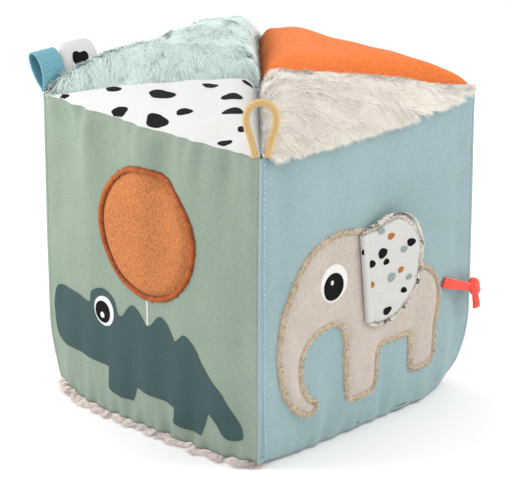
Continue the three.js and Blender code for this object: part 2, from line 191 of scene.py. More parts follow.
class Nodes:
    def __init__(self, name):
        self.material = bpy.data.materials.new(name)
        self.material.use_nodes = True
        self.tree = self.material.node_tree
        self.principled = self.tree.nodes["Principled BSDF"]

    def add(self, kind, **settings):
        node = self.tree.nodes.new(kind)
        for key, value in settings.items():
            setattr(node, key, value)
        return node

    def link(self, a, b):
        self.tree.links.new(a, b)

    def put(self, node, **values):
        for key, value in values.items():
            node.inputs[key.replace("_", " ")].default_value = value
        return node

    def coordinates(self, scale=(1, 1, 1), turn=(0, 0, 0)):
        coord = self.add("ShaderNodeTexCoord")
        mapping = self.add("ShaderNodeMapping")
        mapping.inputs["Scale"].default_value = scale
        mapping.inputs["Rotation"].default_value = turn
        self.link(coord.outputs["Object"], mapping.inputs["Vector"])
        return mapping.outputs["Vector"]

    def noise(self, vector, scale, detail=3, rough=0.5):
        node = self.add("ShaderNodeTexNoise")
        self.put(node, Scale=scale, Detail=detail, Roughness=rough)
        self.link(vector, node.inputs["Vector"])
        return node.outputs["Fac"]

    def maths(self, operation, a, b=None, c=None):
        node = self.add("ShaderNodeMath", operation=operation)
        for i, v in enumerate((a, b, c)):
            if v is None:
                continue
            if isinstance(v, (int, float)):
                node.inputs[i].default_value = v
            else:
                self.link(v, node.inputs[i])
        return node.outputs[0]

    def ramp(self, fac, stops):
        node = self.add("ShaderNodeValToRGB")
        ramp = node.color_ramp
        while len(ramp.elements) < len(stops):
            ramp.elements.new(0.5)
        for e, (at, colour) in zip(ramp.elements, stops):
            e.position = at
            e.color = colour
        self.link(fac, node.inputs["Fac"])
        return node.outputs["Color"]

    def mix(self, fac, a, b, blend="MIX"):
        node = self.add("ShaderNodeMix", data_type="RGBA", blend_type=blend)
        for i, v in ((0, fac), (6, a), (7, b)):
            if isinstance(v, (int, float, tuple)):
                node.inputs[i].default_value = v
            else:
                self.link(v, node.inputs[i])
        return node.outputs[2]

    def bump(self, height, strength, distance, normal=None):
        node = self.add("ShaderNodeBump")
        self.put(node, Strength=strength, Distance=distance)
        self.link(height, node.inputs["Height"])
        if normal is not None:
            self.link(normal, node.inputs["Normal"])
        return node.outputs["Normal"]

    def finish(self, colour=None, normal=None, roughness=0.85, sheen=0.0, sheen_tint=(1, 1, 1, 1),
               sheen_rough=0.4, specular=0.3):
        p = self.principled
        if colour is not None:
            if isinstance(colour, tuple):
                p.inputs["Base Color"].default_value = colour
            else:
                self.link(colour, p.inputs["Base Color"])
        if normal is not None:
            self.link(normal, p.inputs["Normal"])
        if isinstance(roughness, (int, float)):
            p.inputs["Roughness"].default_value = roughness
        else:
            self.link(roughness, p.inputs["Roughness"])
        self.put(p, **{"Sheen_Weight": sheen, "Sheen_Tint": sheen_tint, "Sheen_Roughness": sheen_rough,
                       "Specular_IOR_Level": specular})
        return self.material


COTTON_ROUGHNESS = 0.82
PRINT_PITCH = 0.0007  # of the cloth's threads under a print


def weave_height(n, pitch):
    """Plain weave: two crossed sets of rounded threads."""
    sep = n.add("ShaderNodeSeparateXYZ")
    n.link(n.coordinates(), sep.inputs[0])
    f = 2 * math.pi / pitch
    across = n.maths("SINE", n.maths("MULTIPLY", n.maths("ADD", sep.outputs["X"], sep.outputs["Y"]), f))
    up = n.maths("SINE", n.maths("MULTIPLY", sep.outputs["Z"], f))
    return n.maths("MULTIPLY", across, up)


def cotton(name, colour, pitch=0.0007, weave=0.25, mottle=0.05, sheen=0.15, slub=0.0, grain=0.8):
    """Woven cloth: fine specks and threads, cloudy shading, and slubs where the yarn is uneven."""
    n = Nodes(name)
    v = n.coordinates()
    cloudy = n.noise(v, 14, 3, 0.6)
    specks = n.noise(v, 900, 2, 0.7)
    base = rgb(colour)
    tone = n.ramp(cloudy, [(0.3, shade(base, 1 - mottle)), (0.7, shade(base, 1 + mottle))])
    fine = n.ramp(specks, [(0.28, grey(0.84)), (0.72, grey(1.06))])
    tone = n.mix(grain, tone, fine, "MULTIPLY")
    height = weave_height(n, pitch)
    if slub:
        streaks = n.noise(n.coordinates((900, 260, 500), (0, 0, 0.6)), 1, 2, 0.6)
        dim = n.ramp(streaks, [(0.35, (0.78, 0.72, 0.7, 1)), (0.62, grey(1))])
        tone = n.mix(slub, tone, dim, "MULTIPLY")
    rough = n.maths("MULTIPLY_ADD", specks, 0.12, COTTON_ROUGHNESS - 0.06)
    normal = n.bump(height, weave, 0.00012)
    normal = n.bump(cloudy, 0.12, 0.002, normal)
    return n.finish(tone, normal, rough, sheen, specular=0.25)


def pile(name, colour, dark, light, scale, depth, comb):
    """Short plush: brushed tufts, with tone following the tufts and broad strokes across them."""
    n = Nodes(name)
    tufts = n.noise(n.coordinates(comb), scale, 4, 0.65)
    strokes = n.noise(n.coordinates(), 38, 3, 0.55)
    base = rgb(colour)
    tone = n.ramp(tufts, [(0.32, shade(base, dark)), (0.5, base), (0.7, shade(base, light))])
    broad = n.ramp(strokes, [(0.35, grey(0.9)), (0.65, grey(1.04))])
    tone = n.mix(0.6, tone, broad, "MULTIPLY")
    normal = n.bump(tufts, depth, 0.0008)
    normal = n.bump(strokes, 0.2, 0.002, normal)
    return n.finish(tone, normal, 0.92, 0.5, shade(base, 1.2), 0.45, specular=0.12)


def carried_tone(n, base, dark, light, middle):
    """Colour from the tone that each vertex carries."""
    attribute = n.add("ShaderNodeAttribute", attribute_name="fibre")
    stops = [(0.0, shade(base, dark)), (middle, base), (1.0, shade(base, light))]
    return n.ramp(attribute.outputs["Fac"], stops)


def fibre(name, colour, dark, light):
    """Long fur: each fibre carries its own tone and its place from root to tip, with painted shade towards
    the root.
    """
    n = Nodes(name)
    tone = carried_tone(n, rgb(colour), dark, light, 0.45)
    return n.finish(tone, None, 0.75, 0.6, sheen_rough=0.5, specular=0.15)


def ribbed(name, colour, dark, light, roughness=0.6):
    """Thread or woven tape whose ridges carry their own tone: painted light on the ridges and painted shade
    in the grooves between them.
    """
    n = Nodes(name)
    grain = n.noise(n.coordinates(), 1800, 2, 0.6)
    tone = carried_tone(n, rgb(colour), dark, light, 0.5)
    tone = n.mix(0.6, tone, n.ramp(grain, [(0.3, grey(0.85)), (0.7, grey(1.05))]), "MULTIPLY")
    return n.finish(tone, n.bump(grain, 0.3, 0.0002), roughness, 0.2, specular=0.35)


def thread(name, colour, dark=0.7, light=1.25, sheen=0.25, specular=0.35):
    """Sewing thread, too fine for its strands to be modelled."""
    n = Nodes(name)
    v = n.coordinates()
    grain = n.noise(v, 1500, 3, 0.7)
    broad = n.noise(v, 160, 2, 0.5)
    base = rgb(colour)
    tone = n.ramp(grain, [(0.3, shade(base, dark)), (0.55, base), (0.75, shade(base, light))])
    tone = n.mix(0.5, tone, n.ramp(broad, [(0.3, grey(0.85)), (0.7, grey(1))]), "MULTIPLY")
    return n.finish(tone, n.bump(grain, 0.35, 0.0003), 0.55, sheen, specular=specular)


def printed(name, colour, mottle=0.12, specular=0.2):
    """Ink on cloth: the weave shows through."""
    n = Nodes(name)
    grain = n.noise(n.coordinates(), 1100, 2, 0.7)
    base = rgb(colour)
    tone = n.ramp(grain, [(0.3, shade(base, 1 - mottle)), (0.7, shade(base, 1 + mottle))])
    normal = n.bump(weave_height(n, PRINT_PITCH), 0.15, 0.0001)
    return n.finish(tone, normal, 0.85, 0.05, specular=specular)


def plastic(name, colour, roughness):
    n = Nodes(name)
    ripple = n.noise(n.coordinates(), 300, 2, 0.5)
    return n.finish(rgb(colour), n.bump(ripple, 0.05, 0.0005), roughness, specular=0.5)


MAT = {
    "sage_cotton": cotton("sage_cotton", 0x889788),
    "blue_cotton": cotton("blue_cotton", 0x92a9ac),
    "blush_cotton": cotton("blush_cotton", 0xdbcfcf),
    "grey_cotton": cotton("grey_cotton", 0xbbc2c4),
    "spotted_cotton": cotton("spotted_cotton", 0xcececc, mottle=0.015, weave=0.12, grain=0.2),
    "orange_cotton": cotton("orange_cotton", 0xf0803f, pitch=0.0011, weave=0.8, mottle=0.04, slub=0.45,
                            sheen=0.05),
    "rust_cotton": cotton("rust_cotton", 0xa45b35),
    "black_print": printed("black_print", 0x161618, specular=0.06),
    "rust_print": printed("rust_print", 0xa8672f),
    "green_print": printed("green_print", 0x8b9a94),
    "slate_print": printed("slate_print", 0x3d5152, mottle=0.09),
    "white_print": printed("white_print", 0xdcdddc, mottle=0.03),
    "teal_fur": fibre("teal_fur", 0xe4f4f0, 0.70, 1.08),
    "cream_fur": fibre("cream_fur", 0xf3ece1, 0.87, 1.05),
    "fawn_fur": fibre("fawn_fur", 0xe9dcd5, 0.74, 1.08),
    "teal_backing": cotton("teal_backing", 0xc4dcd7),
    "cream_backing": cotton("cream_backing", 0xece5d9),
    "fawn_backing": cotton("fawn_backing", 0xd6cac2),
    "fawn_plush": pile("fawn_plush", 0xbeb3a9, 0.87, 1.08, scale=800, depth=0.5, comb=(1, 1, 0.5)),
    "rust_plush": pile("rust_plush", 0xba7648, 0.62, 1.3, scale=950, depth=0.9, comb=(1, 1, 0.8)),
    "fawn_pile": fibre("fawn_pile", 0xf2e9dd, 0.9, 1.05),
    "ear_cotton": cotton("ear_cotton", 0xcac9c5, mottle=0.03, weave=0.4, grain=0.4),
    "gold_stitch": ribbed("gold_stitch", 0xcdb694, 0.55, 1.3),
    "rust_stitch": ribbed("rust_stitch", 0xae5518, 0.26, 1.7),
    "white_stitch": thread("white_stitch", 0xe1e1dd, dark=0.88, light=1.05),
    "eye_stitch": thread("eye_stitch", 0x08080a, sheen=0.02, specular=0.08),
    "blue_stitch": thread("blue_stitch", 0xa9cbd8),
    "wadding": cotton("wadding", 0xf2f0ea, weave=0),
    "teal_ribbon": ribbed("teal_ribbon", 0x669ba9, 0.6, 1.18),
    "gold_cord": ribbed("gold_cord", 0xb89a66, 0.46, 1.7, 0.45),
    "coral_cord": ribbed("coral_cord", 0xf95644, 0.8, 1.1, 0.5),
    "crinkle_film": plastic("crinkle_film", 0xdfe3e6, 0.3),
    "clear_plastic": plastic("clear_plastic", 0xe9eef0, 0.3),
    "rattle_bead": plastic("rattle_bead", 0xe0c04a, 0.35),
    "closure_tape": cotton("closure_tape", 0xe6e6e2, pitch=0.0013, weave=1.0),
}

# Stuffed wedges ----------------------------------------------------------------------------------------

HALF = 80 * MM
GAP = 1.2 * MM
SEAM_LOW = 4 * MM
SEAM_HIGH = 165 * MM
SIDE = 40  # cells along each side of a wedge's triangle
RISE = 42  # cells up a wedge's side
LAYERS = ("outer", "left", "right", "top", "base")
# A top's rise from its outer seam, as reach, power and bend, then its reach from the inner seams
LONG_SLOPE = (46 * MM, 1.9, 1.0, 13 * MM)
ROUND_SLOPE = (24 * MM, 2.4, 0.5, 19 * MM)
WEDGES = {
    "green": dict(turn=-90, crown=9, slope=LONG_SLOPE, outer="sage_cotton", top="spotted_cotton",
                  base="fawn_backing", left="rust_cotton", right="blue_cotton"),
    "blue": dict(turn=0, crown=12, slope=LONG_SLOPE, outer="blue_cotton", top="cream_backing",
                 base="spotted_cotton", left="blue_cotton", right="blush_cotton"),
    "orange": dict(turn=90, crown=16.5, slope=ROUND_SLOPE, outer="blush_cotton", top="orange_cotton",
                   base="spotted_cotton", left="blush_cotton", right="grey_cotton"),
    "teal": dict(turn=180, crown=18, slope=ROUND_SLOPE, outer="grey_cotton", top="teal_backing",
                 base="fawn_backing", left="grey_cotton", right="rust_cotton"),
}
NODE_OF = {"outer": "outer_panel", "left": "inner_left_panel", "right": "inner_right_panel",
           "top": "top_panel", "base": "base_panel"}
SLOT_OF = {"cream_backing": "cream_fur", "teal_backing": "teal_fur", "fawn_backing": "fawn_fur"}


def fade(distance, reach):
    """1 at a distance of 0, falling to 0 at a reach in millimetres."""
    return np.clip(1 - distance / (reach * MM), 0, 1)


def grown(distance, start, reach):
    """0 up to a start in millimetres, rising to 1 over a reach."""
    return np.clip((distance - start * MM) / (reach * MM), 0, 1)


def turned(points, degrees):
    a = math.radians(degrees)
    c, s = math.cos(a), math.sin(a)
    p = np.asarray(points, float)
    return np.stack([p[:, 0] * c - p[:, 1] * s, p[:, 0] * s + p[:, 1] * c, p[:, 2]], 1)


def edge_distances(x, y):
    """Distance of a point in the wedge's plan from its outer side and from the nearer inner side."""
    return y + HALF, (-y - np.abs(x)) / math.sqrt(2) - GAP


def pillow(x, y, slope):
    """From 0 at the seams to 1 on the crown of a stuffed top."""
    d0, d1 = edge_distances(x, y)
    reach, power, bend, inner_reach = slope
    rise = lambda d, reach, power: 1 - (1 - np.clip(d / reach, 0, 1)) ** power
    return rise(d0, reach, power) ** bend * np.sqrt(rise(d1, inner_reach, 2.4))


def wedge_mesh(crown, slope):
    """A closed wedge facing -Y: vertices, faces and each face's layer. Seams fall on mesh edges."""
    reach = HALF - math.sqrt(2) * GAP
    verts, index, faces, layer = [], {}, [], []
    sides = {"outer": lambda n: (n, 0), "right": lambda n: (SIDE - n, n), "left": lambda n: (0, SIDE - n)}
    rim = {cell(n): (side, n) for side, cell in sides.items() for n in range(SIDE)}

    def vertex(key, p):
        if key not in index:
            index[key] = len(verts)
            verts.append(p)
        return index[key]

    def plan(i, j):
        return (-reach + reach * (2 * i + j) / SIDE, -HALF + reach * j / SIDE)

    def cap(i, j, k):
        x, y = plan(i, j)
        puff = float(pillow(x, y, slope))
        if k == RISE:
            z = SEAM_HIGH + crown * MM * puff
        else:
            z = SEAM_LOW - (SEAM_LOW - 0.4 * MM) * min(1.0, 3 * puff)
        return vertex((k, *rim.get((i, j), ("inside", i, j))), (x, y, z))

    for k in range(RISE + 1):
        z = SEAM_LOW + (SEAM_HIGH - SEAM_LOW) * k / RISE
        for cell, name in rim.items():
            vertex((k, *name), (*plan(*cell), z))
    ring = list(rim.values())
    for k in range(RISE):
        for a, b in zip(ring, ring[1:] + ring[:1]):
            faces.append((index[(k, *a)], index[(k, *b)], index[(k + 1, *b)], index[(k + 1, *a)]))
            layer.append(LAYERS.index(a[0]))
    for k, name in ((RISE, "top"), (0, "base")):
        for j in range(SIDE):
            for i in range(SIDE - j):
                cells = [(cap(i, j, k), cap(i + 1, j, k), cap(i, j + 1, k))]
                if i + j < SIDE - 1:
                    cells.append((cap(i + 1, j, k), cap(i + 1, j + 1, k), cap(i, j + 1, k)))
                faces += [c if name == "top" else c[::-1] for c in cells]
                layer += [LAYERS.index(name)] * len(cells)
    return np.array(verts), faces, layer


def layers_at(faces, layer, of_face):
    """The layers that meet at each vertex or edge, whichever of_face lists for a face."""
    met = {}
    for f, l in zip(faces, layer):
        for key in of_face(f):
            met.setdefault(key, set()).add(l)
    return met


def edges_of(face):
    return [tuple(sorted(ends)) for ends in zip(face, (*face[1:], face[0]))]


def stuffing(wname):
    """A wedge before the air comes in, held along its seams and its foot."""
    w = WEDGES[wname]
    verts, faces, layer = wedge_mesh(w["crown"], w["slope"])
    ob = mesh_object(f"{wname}_stuffing", verts, faces, MAT["wadding"])
    x, y, z = verts.T
    d0, d1 = edge_distances(x, y)
    low_enough = np.clip((152 * MM - z) / (12 * MM), 0, 1)
    weight = np.maximum(fade(d1, 1.5) * (0.8 + 0.2 * low_enough), fade(z, 6))
    weight[(np.abs(x) > 77 * MM) & (d0 < 1 * MM)] = 1  # the upright seams
    top_seam = (z > SEAM_HIGH - 1e-5) & (d0 < 1e-5)
    weight[top_seam] = np.maximum(weight[top_seam], 0.5)
    pin = ob.vertex_groups.new(name="pin")
    for i in np.nonzero(weight > 0.01)[0]:
        pin.add([int(i)], float(weight[i]), "REPLACE")
    seam = ob.vertex_groups.new(name="seam")
    seam.add([v for v, met in layers_at(faces, layer, tuple).items() if len(met) > 1], 1.0, "REPLACE")
    return dict(ob=ob, rest=verts, faces=faces, layer=layer)


PUFFING = dict(quality=4, mass=0.25, tension_stiffness=18, compression_stiffness=18, shear_stiffness=6,
               bending_stiffness=0.6, use_pressure=True, uniform_pressure_force=3.2, vertex_group_mass="pin",
               pin_stiffness=1.0, vertex_group_shrink="seam", shrink_min=-0.006, shrink_max=0.10)
PUFFING_FRAMES = 18


def simulate(obs):
    """Puffs the wedges with air pressure, their seams drawn in, and gives where their points end."""
    for ob in obs:
        cloth = ob.modifiers.new("Cloth", "CLOTH")
        for key, value in PUFFING.items():
            setattr(cloth.settings, key, value)
        cloth.settings.effector_weights.gravity = 0
        cloth.collision_settings.use_collision = False
        cloth.point_cache.frame_start = 1
        cloth.point_cache.frame_end = PUFFING_FRAMES
    for f in range(PUFFING_FRAMES):
        scene.frame_set(f + 1)
    dg = bpy.context.evaluated_depsgraph_get()
    results = [coords(ob.evaluated_get(dg)) for ob in obs]
    for ob in obs:
        ob.modifiers.clear()
    scene.frame_set(1)
    return results


wedges = {wname: stuffing(wname) for wname in WEDGES}
moved = simulate([w["ob"] for w in wedges.values()])

CAP = 1.8 * MM  # how far the pressure may carry a point of a top
FACE_CAP = 3.2 * MM  # and one of a face
# How far each bottom corner of a face lifts and rounds off in millimetres: left and right
CORNER_LIFT = {"green": (5, 2), "blue": (2, 8), "orange": (8, 8), "teal": (8, 5)}
# How far each top corner of a face stands up in millimetres: left and right
CORNER_RISE = {"green": (0, 0), "blue": (0, 4.5), "orange": (4.5, 0), "teal": (0, 0)}
TUCK_HIGH = 46


def side_value(x, pair):
    """The left or the right one of a face's two values, in metres."""
    return np.where(x < 0, pair[0], pair[1]) * MM


def along_edge(x, power):
    """1 in the middle of a face, falling to 0 at its corners."""
    return np.cos(np.pi * x / (2 * HALF)) ** power


def capped(co, rest):
    """How far the air has carried each point, within what the cloth gives."""
    d = co - rest
    on_top = rest[:, 2] > SEAM_HIGH + 0.1 * MM
    d[on_top, 2] *= 0.5
    length = np.linalg.norm(d, axis=1, keepdims=True)
    cap = np.where(on_top, CAP, FACE_CAP)[:, None]
    return d * np.where(length > 1e-9, cap * np.tanh(length / cap) / np.maximum(length, 1e-9), 1)


def tuck(x, z, name):
    """How far the cloth near a bottom corner moves inwards and up."""
    lift = side_value(x, CORNER_LIFT[name])
    low = fade(z, TUCK_HIGH) ** 2
    corner = grown(np.abs(x), 42, 36)
    return -np.sign(x) * low * corner * (0.6 * MM + 0.85 * lift), low * corner ** 1.6 * lift


def shape_foot(p, x, y, z, name):
    """Tucks the bottom corners in and shapes the foot of the outer panel, which bulges over fur."""
    d0, _ = edge_distances(x, y)
    aside, up = tuck(x, z, name)
    beside = fade(d0, 30) * np.where(z < SEAM_LOW - 0.1 * MM, 0.9, 1)
    p[:, 0] += aside * beside
    p[:, 1] += np.abs(aside) * beside * grown(np.abs(x) + 2 * d0, 42, 36) ** 1.5
    p[:, 2] += up * beside
    low = fade(z - SEAM_LOW, 12)
    if WEDGES[name]["base"] == "fawn_backing":
        p[:, 2] -= 3.0 * MM * low * fade(d0, 14)
        p[:, 1] -= np.exp(-z / (24 * MM)) * fade(d0, 20) * along_edge(x, 0.7) * 6 * MM
    else:
        p[:, 2] -= 3.3 * MM * low * fade(d0, 14)
        p[:, 1] += low ** 2 * fade(d0, 6) * 1.6 * MM


def shape_top(p, x, y, z, name):
    """Sags the top seam between the corners, and lifts the corners and the middle of the cube."""
    d0, d1 = edge_distances(x, y)
    high = grown(z, 120, 45) ** 2
    p[:, 2] -= high * fade(d0, 14) * along_edge(x, 1.2) * 1.6 * MM
    p[:, 2] += high * side_value(x, CORNER_RISE[name]) * grown(np.abs(x), 42, 38) ** 1.5 * fade(d0, 60)
    if name == "teal":  # its fullest part is to one side
        p[:, 2] += 3.4 * MM * high * pillow(x, y, ROUND_SLOPE) * np.exp(-((x + 24 * MM) / (34 * MM)) ** 2)
    p[:, 2] += high * fade(np.hypot(x, y), 45) * 3.0 * MM
    # the stuffed wedges press against their neighbours under the tops
    press = 0.65 * MM * fade(d1, 0.5) * grown(z, 110, 50)
    press *= np.clip((HALF - np.abs(x)) / (10 * MM), 0, 1) * grown(np.abs(x), 0, 4)
    p[:, 0] += np.sign(x) * press
    p[:, 1] += press


def shaped(co, rest, name):
    """The puffed wedge with the tucks and sags that the sewing gives, kept off the floor."""
    p = rest + capped(co, rest)
    shape_foot(p, *rest.T, name)
    shape_top(p, *rest.T, name)
    p[:, 2] = np.maximum(p[:, 2], 0.5 * MM)
    return p


# Depth of the folds in millimetres: at the top seam, at the bottom seam and across the face
GATHERS = {"green": (1.9, 1.15, 1.4), "blue": (0.6, 1.0, 0.9), "orange": (0.9, 1.1, 1.0),
           "teal": (0.9, 1.2, 1.0)}


def gathers(p, name, seed):
    """Vertical folds in the outer panel under its top seam and above its bottom seam."""
    x, y, z = p.T
    top_depth, low_depth, broad_depth = GATHERS[name]
    d0 = y + HALF
    outer = fade(d0, 4)
    below, above = np.clip(SEAM_HIGH - z, 0, 1), np.clip(z - SEAM_LOW, 0, 1)
    away = lambda distance, reach: np.exp(-distance / (reach * MM))
    at_seam = 0.3 + 0.7 * (1 - away(below, 5))
    folds = 0.8 * at_seam * away(below, 11) * waves(x / (9 * MM), seed, 5, 0.5, 0.95)
    folds += 1.5 * away(below, 34) * (1 - away(below, 8)) * waves(x / (23 * MM), seed + 4, 5, 0.5, 1.1)
    low_folds = 0.9 * away(above, 8) * waves(x / (9 * MM), seed + 1, 5, 0.5, 1.0)
    low_folds += 1.6 * away(above, 28) * (1 - away(above, 8)) * waves(x / (21 * MM), seed + 5, 5, 0.5, 1.2)
    p[:, 1] -= outer * (top_depth * folds + low_depth * low_folds) * MM
    beside_seam = np.exp(-((np.abs(x) - 67 * MM) / (5.5 * MM)) ** 2) * np.clip(above / (25 * MM), 0, 1)
    p[:, 1] += outer * beside_seam * (0.9 + 0.35 * waves(z / (50 * MM) + np.sign(x), seed + 8, 4)) * MM
    broad = waves(x / (60 * MM), seed + 2, 4, 0.4, 1.0) * waves(z / (70 * MM), seed + 3, 4, 0.4, 1.0)
    broad += 0.5 * waves((x * 0.7 + z) / (62 * MM), seed + 6, 4, 0.5, 1.2)
    p[:, 1] -= outer * np.clip((HALF - np.abs(x)) / (12 * MM), 0, 1) * broad * broad_depth * 0.6 * MM
    # the tops are puckered from their seams inwards
    d0, d1 = edge_distances(x, y)
    on_top = grown(z, 163, 4)
    ribs = waves(x / (26 * MM), seed + 9, 5, 0.5, 1.1) * away(np.maximum(d0, 0), 26)
    ribs += 0.5 * waves((x + y) / (24 * MM), seed + 10, 4, 0.5, 1.0)
    p[:, 2] += on_top * np.clip(d0 / (4 * MM), 0, 1) * np.clip(d1 / (8 * MM), 0, 1) * ribs * 0.65 * MM
    return p


SEAM_CREASE = 0.75


def smooth_split(name, co, faces, layer):
    """Subdivides the closed wedge with its seams held: its points, and its faces with their layers."""
    me = bpy.data.meshes.new(name + "_whole")
    me.from_pydata([tuple(v) for v in co], [], faces)
    me.update()
    me.polygons.foreach_set("material_index", layer)
    for _ in LAYERS:
        me.materials.append(None)
    met = layers_at(faces, layer, edges_of)
    values = [SEAM_CREASE if len(met[tuple(sorted(e.vertices))]) > 1 else 0 for e in me.edges]
    me.attributes.new("crease_edge", "FLOAT", "EDGE").data.foreach_set("value", np.array(values, np.float32))
    ob = applied(linked(name + "_whole", me), Subsurf=dict(levels=1, render_levels=1))
    smooth = coords(ob)
    polys = [(p.material_index, tuple(p.vertices)) for p in ob.data.polygons]
    bpy.data.objects.remove(ob)
    return smooth, polys


def sub_mesh(co, polys, which):
    picked = [f for l, f in polys if l == which]
    used = sorted({v for f in picked for v in f})
    renumber = {v: i for i, v in enumerate(used)}
    return co[used], [tuple(renumber[v] for v in f) for f in picked]


surfaces = {}
upright_seams = {}  # in each wedge's own frame, bottom to top
STUFFING_SHARE = np.array([0.93, 0.86, 0.965])
STUFFING_MIDDLE = np.array([0, -50 * MM, 85 * MM])
CLOTH_THICKNESS = 0.45 * MM
FOLDED_IN = np.array([0, 0.7, 0.25]) * MM  # a base's raw edge, behind the faces


def add_cloth(wname, l, co, polys):
    """One of a wedge's five fabrics, cut from the closed wedge."""
    w, layer = WEDGES[wname], LAYERS[l]
    v, f = sub_mesh(co, polys, l)
    if layer == "base":
        v += fade(v[:, 1:2] + HALF, 4) * FOLDED_IN
    surfaces[wname, layer] = tree_of(v, f)
    v = turned(v, w["turn"])
    surfaces[wname, layer, "mesh"] = (v, f)
    ob = mesh_object(f"{wname}_{layer}_cloth", v, f, MAT[w[layer]])
    m = ob.modifiers.new("Solidify", "SOLIDIFY")
    m.thickness = CLOTH_THICKNESS
    m.offset = 1 if layer in ("left", "right") else -1
    place(ob, f"{wname}_wedge", SLOT_OF.get(w[layer], w[layer]), f"{wname}_{NODE_OF[layer]}")


def build_wedge(k, wname):
    made = wedges[wname]
    p = shaped(moved[k], made["rest"], wname)
    co, polys = smooth_split(wname, p, made["faces"], made["layer"])
    co = gathers(co, wname, 11 + 7 * k)
    used = {l: {v for m, f in polys if m == l for v in f} for l in range(3)}
    for l, side in ((1, -1), (2, 1)):
        line = co[sorted(used[0] & used[l])]
        upright_seams[wname, side] = line[np.argsort(line[:, 2])]
    # the stuffing sits inside its cover
    ob = made["ob"]
    set_coords(ob, turned(STUFFING_MIDDLE + (p - STUFFING_MIDDLE) * STUFFING_SHARE, WEDGES[wname]["turn"]))
    place(ob, f"{wname}_wedge", "wadding", f"{wname}_filling")
    for l in range(len(LAYERS)):
        add_cloth(wname, l, co, polys)


for k, wname in enumerate(WEDGES):
    build_wedge(k, wname)

# Fur ---------------------------------------------------------------------------------------------------


FIBRE_ROOT_SHADE = np.array([-0.2, -0.2, -0.05, -0.05, 0.1, 0.1, 0.2])  # painted shade, darkest at a fibre's root and lightest at its tip: one value for each of its vertices, root to tip
CHUNK = 4000  # fibres handled together, to spare memory


def scattered(surface, density, r, keep):
    """Random roots over a surface's mesh, the way up at each, and the area of the surface."""
    v, f = surface
    tris = np.array([(t[0], t[i], t[i + 1]) for t in f for i in range(1, len(t) - 1)])
    a, b, c = v[tris[:, 0]], v[tris[:, 1]], v[tris[:, 2]]
    cross = np.cross(b - a, c - a)
    area = np.linalg.norm(cross, axis=1) / 2
    count = int(area.sum() * density)
    pick = r.choice(len(tris), count, p=area / area.sum())
    u, w = r.rand(count, 1), r.rand(count, 1)
    flip = (u + w) > 1
    u, w = np.where(flip, 1 - u, u), np.where(flip, 1 - w, w)
    root = a[pick] + u * (b - a)[pick] + w * (c - a)[pick]
    up = unit(cross)[pick]
    if keep is not None:
        mask = keep(root)
        root, up = root[mask], up[mask]
    return root, up, area.sum()


def nearest_of(points, centres):
    """The index of the centre nearest to each point."""
    nearest = np.empty(len(points), int)
    for s in range(0, len(points), CHUNK):
        d = ((points[s:s + CHUNK, None, :] - centres[None]) ** 2).sum(2)
        nearest[s:s + CHUNK] = d.argmin(1)
    return nearest


def fibre_mesh(name, verts):
    """Ribbons of seven vertices each: two quads and a pointed end."""
    base = np.arange(0, len(verts), 7)[:, None]
    quads = np.concatenate([base + [0, 1, 3, 2], base + [2, 3, 5, 4]])
    tips = base + [4, 5, 6]
    me = bpy.data.meshes.new(name)
    me.vertices.add(len(verts))
    me.vertices.foreach_set("co", verts.ravel())
    me.loops.add(quads.size + tips.size)
    me.loops.foreach_set("vertex_index", np.concatenate([quads.ravel(), tips.ravel()]))
    me.polygons.add(len(quads) + len(tips))
    starts = np.concatenate([np.arange(len(quads)) * 4, quads.size + np.arange(len(tips)) * 3])
    me.polygons.foreach_set("loop_start", starts)
    me.update(calc_edges=True)
    me.shade_smooth()
    return me


